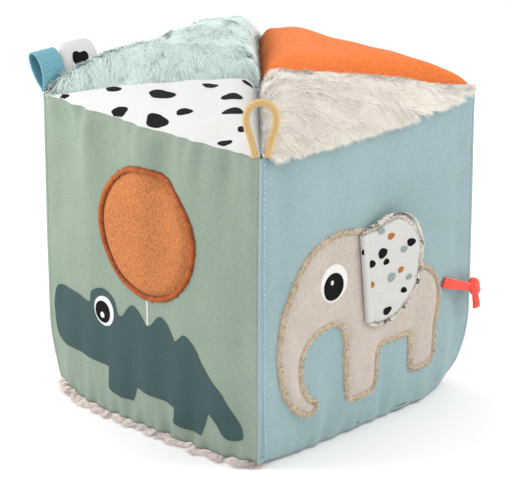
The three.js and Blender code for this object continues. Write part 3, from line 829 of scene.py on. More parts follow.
def fur(name, body, slot, surface, density, length, width, seed, comb, lift=0.55, clump=7 * MM, lean=0.4,
        uneven=0.06, outward=0.0, keep=None, material=None, facing=(0, 0, 0), droop=0.05):
    """Pile of real tapered fibres, combed in clumps, over a surface's mesh."""
    r = np.random.RandomState(seed)
    root, up, area = scattered(surface, density, r, keep)
    count = len(root)
    facing = np.array(facing, float)
    # clumps lean together: each fibre follows the nearest clump centre's direction
    centres = root[r.choice(count, max(8, int(area / clump ** 2)), replace=False)]
    nearest = nearest_of(root, centres)
    lean_of = r.normal(0, lean, (len(centres), 3))
    tone_of = r.normal(0, uneven, len(centres))
    pull = (centres[nearest] - root) * 40
    middle = (root.max(0) + root.min(0)) / 2
    spread = (root - middle) / np.abs(root - middle).max()
    way = np.array(comb, float) + outward * spread + lean_of[nearest]
    way += r.normal(0, 0.22, (count, 3)) + pull
    way = unit(way - (way * up).sum(1, keepdims=True) * up)
    size = length * r.uniform(0.65, 1.15, (count, 1))
    tilt = np.clip(lift + r.normal(0, 0.07, (count, 1)), 0.08, 1.2)
    tilt = np.where(r.rand(count, 1) < 0.05, tilt + 0.22, tilt)
    side = unit(np.cross(way, up + facing) + 0.3 * r.normal(0, 1, (count, 3)))
    half = side * width / 2 * r.uniform(0.7, 1.3, (count, 1))
    curl = r.normal(0, 0.18, (count, 1))
    p0 = root - up * 0.3 * MM
    p1 = root + size * (0.42 * way * (1 - tilt * 0.5) + 0.42 * up * tilt + 0.05 * curl * side)
    p2 = root + size * (0.82 * way * (1 - tilt * 0.35) + 0.62 * up * tilt + 0.16 * curl * side)
    p3 = root + size * (1.10 * way * (1 - tilt * 0.25) + 0.66 * up * tilt + 0.30 * curl * side)
    p2[:, 2] -= ((droop - 0.05) * size)[:, 0]
    p3[:, 2] -= (droop * size)[:, 0]
    rows = [p0 - half, p0 + half, p1 - half, p1 + half, p2 - half * 0.7, p2 + half * 0.7, p3]
    verts = np.stack(rows, 1).reshape(-1, 3)
    verts[:, 2] = np.maximum(verts[:, 2], 0.1 * MM)
    me = fibre_mesh(name, verts)
    soft = unit(up + way * 0.35 + facing + r.normal(0, 0.16, (count, 3)))
    me.normals_split_custom_set_from_vertices(np.repeat(soft, 7, axis=0).tolist())
    tone = np.clip(0.45 + tone_of[nearest] + r.normal(0, 0.16, count), 0, 1)
    # the fibre's own tone, with painted shade towards its root and painted light towards its tip
    set_tone(me, np.clip(tone[:, None] + FIBRE_ROOT_SHADE, 0, 1))
    me.materials.append(material or MAT[slot])
    return place(linked(name, me), body, slot)


fur("teal_top_fur", "teal_wedge", "teal_fur", surfaces["teal", "top", "mesh"], 14e6, 6.5 * MM, 0.26 * MM, 3,
    comb=(-0.4, -0.9, 0), lift=0.20, clump=6 * MM, uneven=0.11, outward=0.5, facing=(-0.5, -0.55, 0.2))
fur("cream_top_fur", "blue_wedge", "cream_fur", surfaces["blue", "top", "mesh"], 14e6, 6 * MM, 0.26 * MM, 4,
    comb=(0.15, -0.9, 0), lift=0.16, clump=11 * MM, lean=0.18, outward=0.5, facing=(-0.2, -0.4, 0),
    keep=lambda q: np.abs(q[:, 0]) < 75.5 * MM)

# The furry bases: comb, facing and the part beside the outer edge, which alone is seen
FURRY_BASES = {
    "green": ((-1, 0, 0), (-0.6, -0.4, 1.9), lambda q: (q[:, 0] < -66 * MM) & (np.abs(q[:, 1]) < 71 * MM)),
    "teal": ((0, 1, 0), (0, 0.6, 1.9), lambda q: (q[:, 1] > 66 * MM) & (np.abs(q[:, 0]) < 71 * MM)),
}
for seed, (wname, (comb, facing, at_edge)) in enumerate(FURRY_BASES.items(), 5):
    fur(f"{wname}_base_fur", f"{wname}_wedge", "fawn_fur", surfaces[wname, "base", "mesh"], 12e6, 7.5 * MM,
        0.28 * MM, seed, comb, lift=0.2, clump=5 * MM, uneven=0.12, keep=at_edge, facing=facing, droop=0.32)
for seed, (wname, (comb, _, at_edge)) in enumerate(FURRY_BASES.items(), 8):
    fur(f"{wname}_base_pile", f"{wname}_wedge", "fawn_fur", surfaces[wname, "base", "mesh"], 5e6, 7 * MM,
        0.5 * MM, seed, comb, lift=0.1, clump=9 * MM, lean=0.5, uneven=0.12, keep=lambda q: ~at_edge(q))

# Outlines on the faces ---------------------------------------------------------------------------------


def span(a, b, c, d, steps):
    """Points of a smooth curve from b up to c, which comes from a and goes on to d."""
    t = np.linspace(0, 1, steps, endpoint=False)[:, None]
    squared, cubed = 2 * a - 5 * b + 4 * c - d, 3 * b - a - 3 * c + d
    return 0.5 * (2 * b + (c - a) * t + squared * t ** 2 + cubed * t ** 3)


def closed_curve(points, spacing):
    """Even points in metres along a closed smooth curve through points in millimetres."""
    p = np.asarray(points, float) * MM
    fours = zip(*(np.roll(p, shift, axis=0) for shift in (1, 0, -1, -2)))
    return resampled(np.concatenate([span(*four, 12) for four in fours]), spacing, True)


def travelled(path):
    """How far along a path each of its points is."""
    return np.concatenate([[0], np.cumsum(np.linalg.norm(np.diff(path, axis=0), axis=1))])


def resampled(path, spacing, closed=False):
    """Points at an even spacing along a path."""
    path = np.asarray(path, float)
    if closed:
        path = np.vstack([path, path[:1]])
    s = travelled(path)
    count = max(4, int(round(s[-1] / spacing)))
    at = np.linspace(0, s[-1], count, endpoint=False) if closed else np.linspace(0, s[-1], count + 1)
    return np.stack([np.interp(at, s, path[:, k]) for k in range(path.shape[1])], 1)


def counterclockwise(outline):
    x, y = outline.T
    area = np.sum(x * np.roll(y, -1) - np.roll(x, -1) * y)
    return outline if area > 0 else outline[::-1]


def gap_to(outline, points):
    """Distance of each point from a closed outline."""
    a, b = outline, np.roll(outline, -1, axis=0)
    best = np.full(len(points), 1e9)
    for p0, p1 in zip(a, b):
        d = p1 - p0
        t = np.clip(((points - p0) @ d) / (d @ d + 1e-18), 0, 1)
        best = np.minimum(best, np.linalg.norm(points - p0 - t[:, None] * d, axis=1))
    return best


def inside(outline, points):
    x, y = points.T
    result = np.zeros(len(points), bool)
    for (x0, y0), (x1, y1) in zip(outline, np.roll(outline, -1, axis=0)):
        crosses = (y0 > y) != (y1 > y)
        with np.errstate(divide="ignore", invalid="ignore"):
            result ^= crosses & (x < (x1 - x0) * (y - y0) / (y1 - y0) + x0)
    return result


def filled(outline, spacing):
    """Triangles over an outline with even points inside it: points, faces and each point's edge distance."""
    outline = counterclockwise(outline)
    lo, hi = outline.min(0), outline.max(0)
    xs = np.arange(lo[0], hi[0], spacing)
    ys = np.arange(lo[1], hi[1], spacing * 0.866)
    grid = np.array([(x + (k % 2) * spacing / 2, y) for k, y in enumerate(ys) for x in xs])
    grid = grid[inside(outline, grid)]
    grid = grid[gap_to(outline, grid) > spacing * 0.55]
    points = np.vstack([outline, grid])
    n = len(outline)
    ring = [(i, (i + 1) % n) for i in range(n)]
    out = delaunay_2d_cdt([Vector(p) for p in points], ring, [], 1, 1e-8)
    points = np.array([tuple(v) for v in out[0]])
    faces = [tuple(f) for f in out[2]]
    return points, faces, gap_to(outline, points)


def offset_outline(outline, distance):
    """Moves a counterclockwise outline inwards by distance."""
    before, after = np.roll(outline, 1, axis=0), np.roll(outline, -1, axis=0)
    along = unit(after - before)
    return outline + np.stack([-along[:, 1], along[:, 0]], 1) * distance


def on_face(wname, uz, height):
    """Points of a wedge's outer face: across, up, and height above the cloth; in the cube's frame."""
    tree = surfaces[wname, "outer"]
    height = np.broadcast_to(height, len(uz))
    out = []
    for (u, z), h in zip(uz, height):
        hit = tree.ray_cast(Vector((u, -0.2, z)), Vector((0, 1, 0)))[0]
        y = hit.y if hit is not None and hit.y < -0.06 else -HALF
        out.append((u, y - h, z))
    return turned(out, WEDGES[wname]["turn"])


def on_top(wname, xy, height):
    """Points on a wedge's top, at a height along its slope's normal."""
    tree = surfaces[wname, "top"]
    out = []
    for x, y in xy:
        hit, normal = tree.ray_cast(Vector((x, y, 0.3)), Vector((0, 0, -1)))[:2]
        out.append((x, y, SEAM_HIGH) if hit is None else hit + normal * height)
    return turned(out, WEDGES[wname]["turn"])


def on_base(wname, xy, height):
    """Points under a wedge's base, nearly on the floor, at a height off its cloth."""
    tree = surfaces[wname, "base"]
    out = []
    for x, y in xy:
        hit = tree.ray_cast(Vector((x, y, -0.05)), Vector((0, 0, 1)))[0]
        out.append((x, y, (hit.z if hit else SEAM_LOW) - height))
    return turned(out, WEDGES[wname]["turn"])


def blob(x, y, wide, high, seed, turn=0.0, uneven=0.10):
    """Outline of an irregular printed spot, in metres."""
    r = np.random.RandomState(seed)
    a = np.linspace(0, 2 * np.pi, 28, endpoint=False)
    radius = 1 + uneven * np.sin(2 * a + r.uniform(0, 6)) * 0.6 + uneven * np.sin(3 * a + r.uniform(0, 6))
    radius += uneven * 0.4 * np.sin(5 * a + r.uniform(0, 6))
    px, py = wide / 2 * radius * np.cos(a), high / 2 * radius * np.sin(a)
    c, s = math.cos(turn), math.sin(turn)
    return np.stack([x + px * c - py * s, y + px * s + py * c], 1) * MM


def joined(parts):
    """One mesh's vertices and faces from several."""
    verts, faces, n = [], [], 0
    for v, f in parts:
        verts.append(np.asarray(v))
        faces += [tuple(i + n for i in t) for t in f]
        n += len(v)
    return np.vstack(verts), faces


def print_on(name, outlines, to_surface, body, slot, key, spacing=1.3 * MM, proud=0.15 * MM, under=False):
    """Flat print: each outline becomes a thin skin lying on the cloth."""
    parts = []
    for outline in outlines:
        points, faces, _ = filled(outline, spacing)
        parts.append((to_surface(points, proud), [f[::-1] for f in faces] if under else faces))
    return place(mesh_object(name, *joined(parts), MAT[key]), body, slot)


SATIN_ROWS = 8  # of points across a satin band
SATIN_FOOT = 0.1 * MM  # how far its threads stand off the cloth
SUNK = 0.3 * MM  # how far their ends go into it
RAGGED = 0.2 * MM  # how much their ends vary


def smoothed(points, passes, step, weight):
    """Each point of a closed line moved towards the points before and after it."""
    for _ in range(passes):
        around = np.roll(points, step, axis=0) + np.roll(points, -step, axis=0)
        points = (around + weight * points) / (2 + weight)
    return points


def satin(name, outline, width, high, pitch, to_surface, body, slot, nodes, slant, seed=1, edge_shade=0.4):
    """A satin-stitched band inside an outline: every thread is a ridge across the band, with painted light on
    its raised threads and painted shade towards its edges.
    """
    r = np.random.RandomState(seed)
    outline = counterclockwise(resampled(outline, pitch / 2, True))
    if len(outline) % 2:
        spacing = pitch / 2 * len(outline) / (len(outline) - 1)
        outline = counterclockwise(resampled(outline, spacing, True))
    n = len(outline)
    smooth = smoothed(outline, 6, 1, 2)
    inward = unit(smoothed(offset_outline(smooth, 1.0) - smooth, 8, 2, 1))
    ridge = np.where(np.arange(n) % 2 == 0, 1.0, -1.0)
    ragged = np.repeat(r.normal(0, RAGGED, n // 2 + 1), 2)[:n]
    shine = np.repeat(r.uniform(-0.18, 0.18, n // 2 + 1), 2)[:n]
    along = unit(np.roll(outline, -1, axis=0) - np.roll(outline, 1, axis=0))
    ring, heights, tones = [], [], []
    for t in np.arange(SATIN_ROWS) / (SATIN_ROWS - 1):
        across = (width * t + ragged * (1 - 2 * t))[:, None]
        ring.append(outline + inward * across + along * slant * width * (t - 0.5))
        at_end = t in (0, 1)
        dome = 0 if at_end else math.sin(math.pi * t) ** 0.55
        heights.append(SATIN_FOOT + high * dome * (0.78 + 0.22 * ridge) - SUNK * at_end)
        # the tone is painted light on the raised threads and the band's middle, and painted shade on the
        # lower threads and towards the band's edges, with a painted shine that differs from thread to thread
        shadow = edge_shade * abs(2 * t - 1) ** 3
        tones.append(np.clip(0.5 + 0.42 * ridge * dome + shine - shadow, 0, 1))
    verts = to_surface(np.concatenate(ring), np.concatenate(heights))
    faces = [(k * n + i, k * n + j, (k + 1) * n + j, (k + 1) * n + i)
             for k in range(SATIN_ROWS - 1) for i, j in zip(range(n), (*range(1, n), 0))]
    ob = mesh_object(name, verts, faces, MAT[slot])
    set_tone(ob.data, np.concatenate(tones))
    place(ob, body, slot, *nodes)
    return verts, faces


# Prints ------------------------------------------------------------------------------------------------

green_face = lambda uz, h: on_face("green", uz, h)
blue_face = lambda uz, h: on_face("blue", uz, h)

# The crocodile faces left: snout, brow, pointed back plates, tail, legs
CROCODILE = [
    (-69, 61.3), (-55, 60.8), (-43.5, 59.4), (-41, 66.0), (-33, 69.6), (-24.5, 66.3), (-20.5, 58.2),
    (-17.5, 58.0), (-11.5, 65.6), (-6, 64.2), (1.2, 57.6), (4.2, 59.2), (9.6, 65.0), (15.4, 62.2),
    (21, 54.8), (23.6, 56.4), (28.2, 60.0), (34, 56.4), (39.6, 48.4), (47, 41.5), (54.5, 35.6), (61, 27.0),
    (66.2, 18.2), (66.6, 13.6), (61.8, 11.6), (57, 12.6), (51, 18.4), (46.2, 22.8), (43, 16.0), (40.6, 9.0),
    (31, 9.2), (22.8, 10.8), (23.2, 15.4), (23.4, 19.8), (8, 20.6), (-6.6, 21.4), (-8.2, 16.6),
    (-9.8, 12.8), (-17, 12.8), (-25.6, 13.8), (-28.6, 15.6), (-28.4, 21.4), (-28.8, 26.8), (-48, 28.2),
    (-66.6, 30.2), (-72.2, 34.6), (-74.3, 44.0), (-73.4, 57.2),
]
# The points of the outline where it has a corner
SHARP = {6, 7, 10, 14, 18, 27, 29, 32, 33, 35, 37, 41, 42}


def cornered(points, sharp, spacing):
    """A closed curve, smooth but for the corners named by their index."""
    p = [np.array(q, float) for q in points]
    doubled = []
    for i, q in enumerate(p):
        if i in sharp:
            doubled += [q + (p[i - 1] - q) * 0.08, q, q + (p[(i + 1) % len(p)] - q) * 0.08]
        else:
            doubled.append(q)
    return closed_curve(doubled, spacing)


print_on("crocodile_print", [cornered(CROCODILE, SHARP, 1.2 * MM)], green_face, "green_wedge", "sage_cotton",
         "slate_print", spacing=1.6 * MM, proud=0.3 * MM)
# The eye's layers: middle, width, height and how far each stands proud
CROCODILE_EYE = {
    "white": (-31.2, 57.4, 15.4, 16.4, 0.42),
    "black": (-32.2, 56.7, 11.6, 12.2, 0.54),
    "glint": (-32.6, 54.9, 3.0, 3.4, 0.66),
}
for part, (x, z, wide, high, proud) in CROCODILE_EYE.items():
    print_on(f"crocodile_eye_{part}", [blob(x, z, wide, high, 1, uneven=0.0)], green_face, "green_wedge",
             "sage_cotton", "black_print" if part == "black" else "white_print", proud=proud * MM)

# Spots, in their wedge's own frame: across, out, wide, deep, turn
TOP_SPOTS = [
    (-45, -62, 9.5, 5.6, 0.12), (-16, -55, 14.9, 9.6, 0.16), (-3, -33, 8.5, 6.1, 0.26),
    (18, -38, 10.8, 8.9, 0.89), (10, -64, 9.5, 5.9, 0.19), (33, -52, 10.9, 8.0, 0.59),
    (-25, -76, 10.5, 7.0, -0.23), (1, -74.6, 15.5, 9.1, -0.29), (51, -76, 8.0, 5.0, 0.14),
    (50, -63, 6.4, 4.6, -0.96), (-66, -77, 5.5, 4.0, 0.2), (5, -14, 6.0, 5.0, 0.5),
]
BASE_SPOTS = [
    (-50, -74, 8, 6, 0.2), (-27, -60, 12, 9, 0.4), (-8, -76, 9, 7, 0.0), (14, -62, 10, 9, 0.9),
    (27, -77, 9, 6, 0.1), (40, -75.5, 7, 6, 0.3), (52, -66, 9, 7, 0.8), (-6, -40, 11, 9, 0.3),
    (18, -34, 7, 6, 0.5), (2, -18, 8, 6, 0.1),
]


def spotted(name, wname, on, spots, seed, **how):
    """Printed spots on a wedge's top or under its base."""
    outlines = [blob(x, y, w, d, seed + i, t, 0.09) for i, (x, y, w, d, t) in enumerate(spots)]
    print_on(name, outlines, lambda xy, h: on(wname, xy, h), f"{wname}_wedge", "spotted_cotton",
             "black_print", **how)


spotted("white_top_spots", "green", on_top, TOP_SPOTS, 40)
spotted("blue_base_spots", "blue", on_base, BASE_SPOTS, 70, proud=0.12 * MM, under=True)
spotted("orange_base_spots", "orange", on_base, BASE_SPOTS, 90, proud=0.12 * MM, under=True)

# Balloon -----------------------------------------------------------------------------------------------

BALLOON = (1.0, 107.6)
BALLOON_OUTER = 36.0
BALLOON_DISC = 32.4


def circle(x, z, radius, spacing):
    n = max(12, int(2 * math.pi * radius / spacing))
    a = np.linspace(0, 2 * np.pi, n, endpoint=False)
    return np.stack([x + radius * np.cos(a), z + radius * np.sin(a)], 1) * MM


def add_balloon():
    disc, faces, gap = filled(circle(*BALLOON, BALLOON_DISC, 1.5), 1.5 * MM)
    rise = 1 - (1 - grown(gap, 0.9, 4.0)) ** 2.4
    wobble = waves(disc[:, 0] / (30 * MM), 5, 4) * waves(disc[:, 1] / (30 * MM), 6, 4) * 0.12 * MM
    verts = green_face(disc, 0.12 * MM + 2.4 * MM * rise + wobble)
    ob = mesh_object("balloon_disc", verts, faces, MAT["rust_plush"])
    place(ob, "green_wedge", "rust_plush", "balloon_plush")
    satin("balloon_ring", circle(*BALLOON, BALLOON_OUTER, 0.3), 3.7 * MM, 1.7 * MM, 1.15 * MM, green_face,
          "green_wedge", "rust_stitch", ["balloon_border"], slant=0.5, edge_shade=0.75)
    string = resampled(np.array([(1.0, 72.4), (1.3, 66), (1.7, 58.6)]) * MM, 0.35 * MM)
    ribs = np.where(np.arange(len(string)) % 2 == 0, 1.0, 0.75)
    across = [(-0.55, 0.0), (-0.35, 0.35), (0.0, 0.5), (0.35, 0.35), (0.55, 0.0)]
    rows = [green_face(string + [a * MM, 0], 0.05 * MM + h * MM * ribs) for a, h in across]
    faces = grid_faces(len(rows), len(string))
    ob = mesh_object("balloon_thread", np.concatenate(rows), faces, MAT["white_stitch"])
    place(ob, "green_wedge", "white_stitch", "balloon_string")


add_balloon()

# Elephant ----------------------------------------------------------------------------------------------

ELEPHANT = [
    (-54, 26), (-60, 32.5), (-65, 44), (-67, 61), (-64.5, 76.5), (-60, 88), (-53.5, 100.5), (-44.5, 108),
    (-30, 112.5), (-18.5, 112), (-6, 108.5), (6, 100.5), (20, 89.5), (32.5, 81), (41, 77), (46, 72),
    (49, 65.5), (49.5, 56.5), (47.5, 41), (46.5, 29), (44, 25.5), (37, 25.2), (31, 25.2), (28.8, 29),
    (29, 40), (27, 46.5), (15, 47.2), (4, 46.5), (1, 41), (1, 28), (-2, 22.5), (-10, 21.8), (-17, 22.5),
    (-19.3, 27), (-20.5, 42), (-21.5, 58), (-27, 66.5), (-39, 67.2), (-49, 62.5), (-54, 52), (-54, 39),
    (-49, 29.5), (-45, 27.5), (-48, 23.3),
]


def add_elephant():
    body_line = counterclockwise(closed_curve(ELEPHANT, 1.4 * MM))
    points, faces, gap = filled(body_line, 1.8 * MM)
    rise = 1 - fade(gap, 6) ** 2
    verts = blue_face(points, 0.3 * MM + 1.5 * MM * rise)
    ob = mesh_object("elephant_plush", verts, faces, MAT["fawn_plush"])
    place(ob, "blue_wedge", "fawn_plush", "elephant_body")
    edging = satin("elephant_edging", offset_outline(body_line, -2.7 * MM), 3.3 * MM, 1.35 * MM, 0.9 * MM,
                   blue_face, "blue_wedge", "gold_stitch", ["elephant_border"], slant=0.4, seed=7)
    fur("elephant_edge_fuzz", "blue_wedge", "fawn_plush", edging, 3.5e6, 1.2 * MM, 0.15 * MM, 22,
        comb=(0, 0, -0.2), lift=0.9, clump=2 * MM, lean=1.2, material=MAT["fawn_pile"])
    add_eye(tree_of(coords(ob), [tuple(p.vertices) for p in ob.data.polygons]))


EYE = (-32.2, 89.2)


THREADS_TURNED = 0.9  # in radians, the way the eye's threads run
EYE_THREAD = 0.9 * MM


def add_eye(plush):
    def on_plush(uz, height):
        out = []
        for (u, z), h in zip(uz, height):
            hit = plush.ray_cast(Vector((u, -0.2, z)), Vector((0, 1, 0)))[0]
            out.append((u, (hit.y if hit else -0.0825) - h, z))
        return np.array(out)

    def stitched_disc(name, x, z, wide, high, proud, slot, *nodes):
        """Parallel satin threads filling an ellipse, domed, each thread a ridge."""
        points, faces, gap = filled(blob(x, z, wide, high, 3, uneven=0.0), 0.55 * MM)
        rise = np.sqrt(grown(gap, 0, 1.6))
        along = points @ (math.cos(THREADS_TURNED), math.sin(THREADS_TURNED))
        ridges = np.sin(2 * np.pi * along / EYE_THREAD) * 0.05 * MM
        verts = on_plush(points, (proud + SUNK) * rise - SUNK + ridges * (rise > 0.4))
        place(mesh_object(name, verts, faces, MAT[slot]), "blue_wedge", slot, *nodes)

    x, z = EYE
    stitched_disc("elephant_eye_white", x, z, 20.4, 20.4, 0.75 * MM, "white_stitch", "elephant_eye")
    stitched_disc("elephant_eye_black", x - 0.8, z - 1.3, 16.2, 16.0, 1.25 * MM, "eye_stitch")
    stitched_disc("elephant_eye_glint", x - 2.2, z + 1.2, 4.2, 4.6, 1.7 * MM, "white_stitch")


add_elephant()

# Elephant's ear: its layers follow one lifted, lightly curled surface ----------------------------------

EAR_LOW = np.array((-9.0, 62.5))
EAR_HIGH = np.array((-14.0, 111.0))
EAR_DEPTH = 86.3
EAR_COTTON = [
    (-12.8, 110.8), (-9.2, 111.4), (-4, 112.2), (1, 114.2), (8.8, 115.4), (14.5, 112.0), (19.5, 107.6),
    (22.2, 100.5), (22.5, 87), (18.8, 73.6), (11, 64.6), (1, 61.2), (-5, 61.8), (-8.4, 63.4), (-9.4, 72),
    (-11, 90), (-12.2, 104),
]
EAR_PLUSH = [
    (-13.4, 111.6), (-8, 113.2), (-2, 114.6), (3.4, 116.6), (10.2, 117.4), (16.4, 114.4), (21.2, 109.2),
    (24.2, 101.5), (24.2, 87), (20, 72.6), (11.6, 63.2), (1, 60.2), (-5.5, 60.9), (-8.6, 63), (-9.8, 72),
    (-11.4, 90), (-12.8, 104),
]
EAR_DOTS = {
    "black_print": [(25.5, 99.9, 5.4), (2.9, 97.7, 6.6), (5.7, 92.5, 4.0), (-5.3, 93.4, 5.0),
                    (20.3, 74.5, 3.8), (7.6, 65.4, 6.0), (-11.4, 101.2, 3.8)],
    "rust_print": [(8.8, 105.9, 4.6), (17.8, 86.0, 4.2), (-5.7, 82.0, 4.6)],
    "green_print": [(19.5, 97.0, 4.6), (10.4, 83.2, 6.0), (24.6, 81.0, 4.0), (1.2, 110.0, 4.4)],
}
EAR_HEM = [(-0.9, -0.6), (-1.0, 0.9), (-0.6, 1.45), (0.6, 1.6), (2.2, 1.55), (2.8, 1.2)]


def ear_surface(uz, height):
    """Points of the ear: across, up, and height in front of its middle layer."""
    uz = np.asarray(uz, float)
    axis = (EAR_HIGH - EAR_LOW) / np.linalg.norm(EAR_HIGH - EAR_LOW)
    from_low = uz - EAR_LOW * MM
    along = from_low @ axis
    away = from_low @ np.array((axis[1], -axis[0]))
    lift = math.tan(math.radians(7)) * away + 1.6 * MM * np.clip(away / (36 * MM), 0, 2) ** 3
    creases = 0.28 * MM * np.clip(away / (12 * MM), 0, 1) * waves(along / (16 * MM) - away / (60 * MM), 31, 4)
    y = -(EAR_DEPTH * MM + lift + creases + height)
    return np.stack([uz[:, 0], y, uz[:, 1]], 1)


def solid_sheet(name, outline, spacing, thickness, height, edge, slot, key, node):
    """A closed sheet on the ear's surface, with round edges: the piece, its size and its area.
    Its spacing, thickness, height and round edge are in millimetres."""
    outline = counterclockwise(outline)
    points, faces, gap = filled(outline, spacing * MM)
    half = thickness / 2 * MM * np.sqrt(grown(gap, 0, edge))
    verts = [ear_surface(points, height * MM + half), ear_surface(points, height * MM - half)]
    n = len(points)
    faces = faces + [tuple(i + n for i in f[::-1]) for f in faces]
    ob = applied(mesh_object(name, np.vstack(verts), faces, MAT[key]), Weld=dict(merge_threshold=0.01 * MM))
    place(ob, "elephant_ear", slot, node)
    return ob, tuple((outline.max(0) - outline.min(0)).tolist()), area_of(outline)


def area_of(outline):
    x, y = outline.T
    return float(abs(np.sum(x * np.roll(y, -1) - np.roll(x, -1) * y)) / 2)


def ear_dot(x, z, size, seed):
    """A dot's outline on the lifted ear, from where it shows on the flat face."""
    away = max(x + 9, 0)
    u = x - max(0.0, (x + 9) * 0.123 + 1.6 * (away / 36) ** 3) * 1.08 - 2.4
    return blob(u, z + 1.0, size * 0.95, size * 0.82, seed, 0.0, 0.07)


def add_ear():
    plush_line = closed_curve(EAR_PLUSH, 1.3 * MM)
    cotton_line = closed_curve(EAR_COTTON, 1.0 * MM)
    film_line = offset_outline(counterclockwise(closed_curve(EAR_COTTON, 1.3 * MM)), 2 * MM)
    back, back_size, back_area = solid_sheet(
        "ear_plush_back", plush_line, 1.8, 1.5, -0.75, 2, "fawn_plush", "fawn_plush", "elephant_ear_backing")
    film, film_size, film_area = solid_sheet(
        "ear_film", film_line, 2.0, 0.2, 0.2, 0.5, "crinkle_film", "crinkle_film",
        "elephant_ear_crinkle_film")
    front, front_size, front_area = solid_sheet(
        "ear_cotton", cotton_line, 1.5, 0.9, 0.85, 1.0, "spotted_cotton", "ear_cotton", "elephant_ear_front")
    rim = counterclockwise(plush_line)
    verts = np.vstack([ear_surface(rim, -0.9 * MM), ear_surface(rim, 0.6 * MM)])
    n = len(rim)
    faces = [(i, (i + 1) % n, n + (i + 1) % n, n + i) for i in range(n)]
    ear_rim = fur("ear_rim_fuzz", "elephant_ear", "fawn_plush", (verts, faces), 18e6, 1.7 * MM, 0.24 * MM, 23,
                  comb=(0.3, -0.1, -0.8), lift=0.9, clump=2.5 * MM, material=MAT["fawn_pile"],
                  facing=(0, -3.0, 0.8), keep=lambda q: q[:, 0] > -7.5 * MM)
    back_mesh = (coords(back), [tuple(p.vertices) for p in back.data.polygons])
    pile_piece = fur("ear_back_pile", "elephant_ear", "fawn_plush", back_mesh, 4e6, 1.5 * MM, 0.26 * MM, 24,
                     comb=(0.3, 0, -0.9), lift=0.75, clump=3 * MM, material=MAT["fawn_pile"],
                     facing=(0, -2.2, 0.6), keep=lambda q: ~inside(cotton_line, q[:, [0, 2]]))
    # the hem along the hinge
    hem = (EAR_LOW + (EAR_HIGH - EAR_LOW) * np.linspace(0, 1, 60)[:, None]) * MM
    side = np.array((1.0, 0.1))
    verts = np.concatenate([ear_surface(hem + side * a * MM, h * MM) for a, h in EAR_HEM])
    ob = mesh_object("ear_hem", verts, grid_faces(len(EAR_HEM), len(hem)), MAT["ear_cotton"])
    on_front = [place(ob, "elephant_ear", "spotted_cotton")]
    for key, dots in EAR_DOTS.items():
        outlines = [ear_dot(*dot, 60 + i) for i, dot in enumerate(dots)]
        on_front.append(print_on(f"ear_dots_{key.split('_')[0]}", outlines, ear_surface, "elephant_ear",
                                 "spotted_cotton", key, spacing=0.8 * MM, proud=1.42 * MM))


add_ear()

# Cords -------------------------------------------------------------------------------------------------


def spline(points, steps):
    """An open smooth curve through points in millimetres, in metres."""
    p = np.asarray(points, float) * MM
    p = np.vstack([2 * p[0] - p[1], p, 2 * p[-1] - p[-2]])
    spans = [span(*p[i - 1:i + 3], steps) for i in range(1, len(p) - 2)]
    return np.concatenate(spans + [p[-2:-1]])


def ring_faces(rings, count):
    """Quads round a tube made of rings, each with the same count of points."""
    after = [*range(1, count), 0]
    return [(i * count + j, i * count + k, (i + 1) * count + k, (i + 1) * count + j)
            for i in range(rings - 1) for j, k in enumerate(after)]


def frames(path, first_side):
    """Side and up at each point, carried along the path without twist."""
    tangent = unit(np.gradient(path, axis=0))
    side = np.asarray(first_side, float)
    sides = []
    for t in tangent:
        side = side - (side @ t) * t
        side /= np.linalg.norm(side)
        sides.append(side)
    return np.array(sides), np.cross(tangent, sides)


def swept(path, first_side, section):
    """Closed tube: section(share) gives the ring of (side, up) offsets at a share of the path's points."""
    rings = []
    for share, p, side, up in zip(np.linspace(0, 1, len(path)), path, *frames(path, first_side)):
        ring = section(share)
        rings.append(p + ring[:, :1] * side + ring[:, 1:] * up)
    n = len(rings[0])
    verts = np.concatenate(rings + [path[:1], path[-1:]])
    faces = ring_faces(len(rings), n)
    start, last = len(verts) - 2, (len(path) - 1) * n
    for j in range(n):
        k = (j + 1) % n
        faces += [(start, k, j), (start + 1, last + j, last + k)]
    return verts, faces


def around(count):
    """Angles of even points round a section."""
    return np.linspace(0, 2 * np.pi, count, endpoint=False)


LOOP_MIDDLE = -80 + 2.4 / math.sqrt(2)
LOOP_FOOT = 167.4
LOOP_ROUTE = [
    (-3.4, -2.4), (-3.4, 0), (-4.6, 5.4), (-6.5, 11.6), (-7.3, 16.8), (-5.7, 22.3), (0, 25.1), (5.7, 22.3),
    (7.3, 16.8), (6.5, 11.6), (4.6, 5.4), (3.4, 0), (3.4, -2.4),
]


LOOP_STEP = 0.32  # millimetres between the rings of the loop
STRANDS = 7
PLAIT = 3.9  # how fast the strands turn, per millimetre


def add_loop():
    k = 1 / math.sqrt(2)
    route = [(LOOP_MIDDLE + a * k, LOOP_MIDDLE - a * k, LOOP_FOOT + u) for a, u in LOOP_ROUTE]
    path = resampled(spline(route, 10), LOOP_STEP * MM)
    angles = around(32)
    tones = []

    def braid(share):
        turn = share * (len(path) - 1) * LOOP_STEP * PLAIT
        crown = np.maximum(np.sin(STRANDS * angles + turn), np.sin(STRANDS * angles - turn))
        # painted light on the strands' crowns and painted shade in the dips between them
        tones.append(0.5 + 0.5 * np.clip(crown, -1, 1))
        return np.stack([np.cos(angles), np.sin(angles)], 1) * (1.66 + 0.18 * crown)[:, None] * MM

    verts, faces = swept(path, (1, 1, 0), braid)
    ob = mesh_object("hanging_cord", verts, faces, MAT["gold_cord"])
    set_tone(ob.data, np.append(np.concatenate(tones), (0.5, 0.5)))
    place(ob, "hanging_loop", "gold_cord", "hanging_loop")


TAIL_ROUTE = [
    (53.5, -83.4, 66.6), (57.5, -85.2, 65.3), (61, -86, 64.2), (64.5, -86.4, 62.9), (67.5, -86.8, 61.8),
    (71.5, -87.1, 60.4), (75.0, -87.3, 58.2), (75.9, -87.2, 53.4), (76.6, -87.2, 50.6), (77.2, -87, 47.4),
]


TAIL_THICK = 0.95


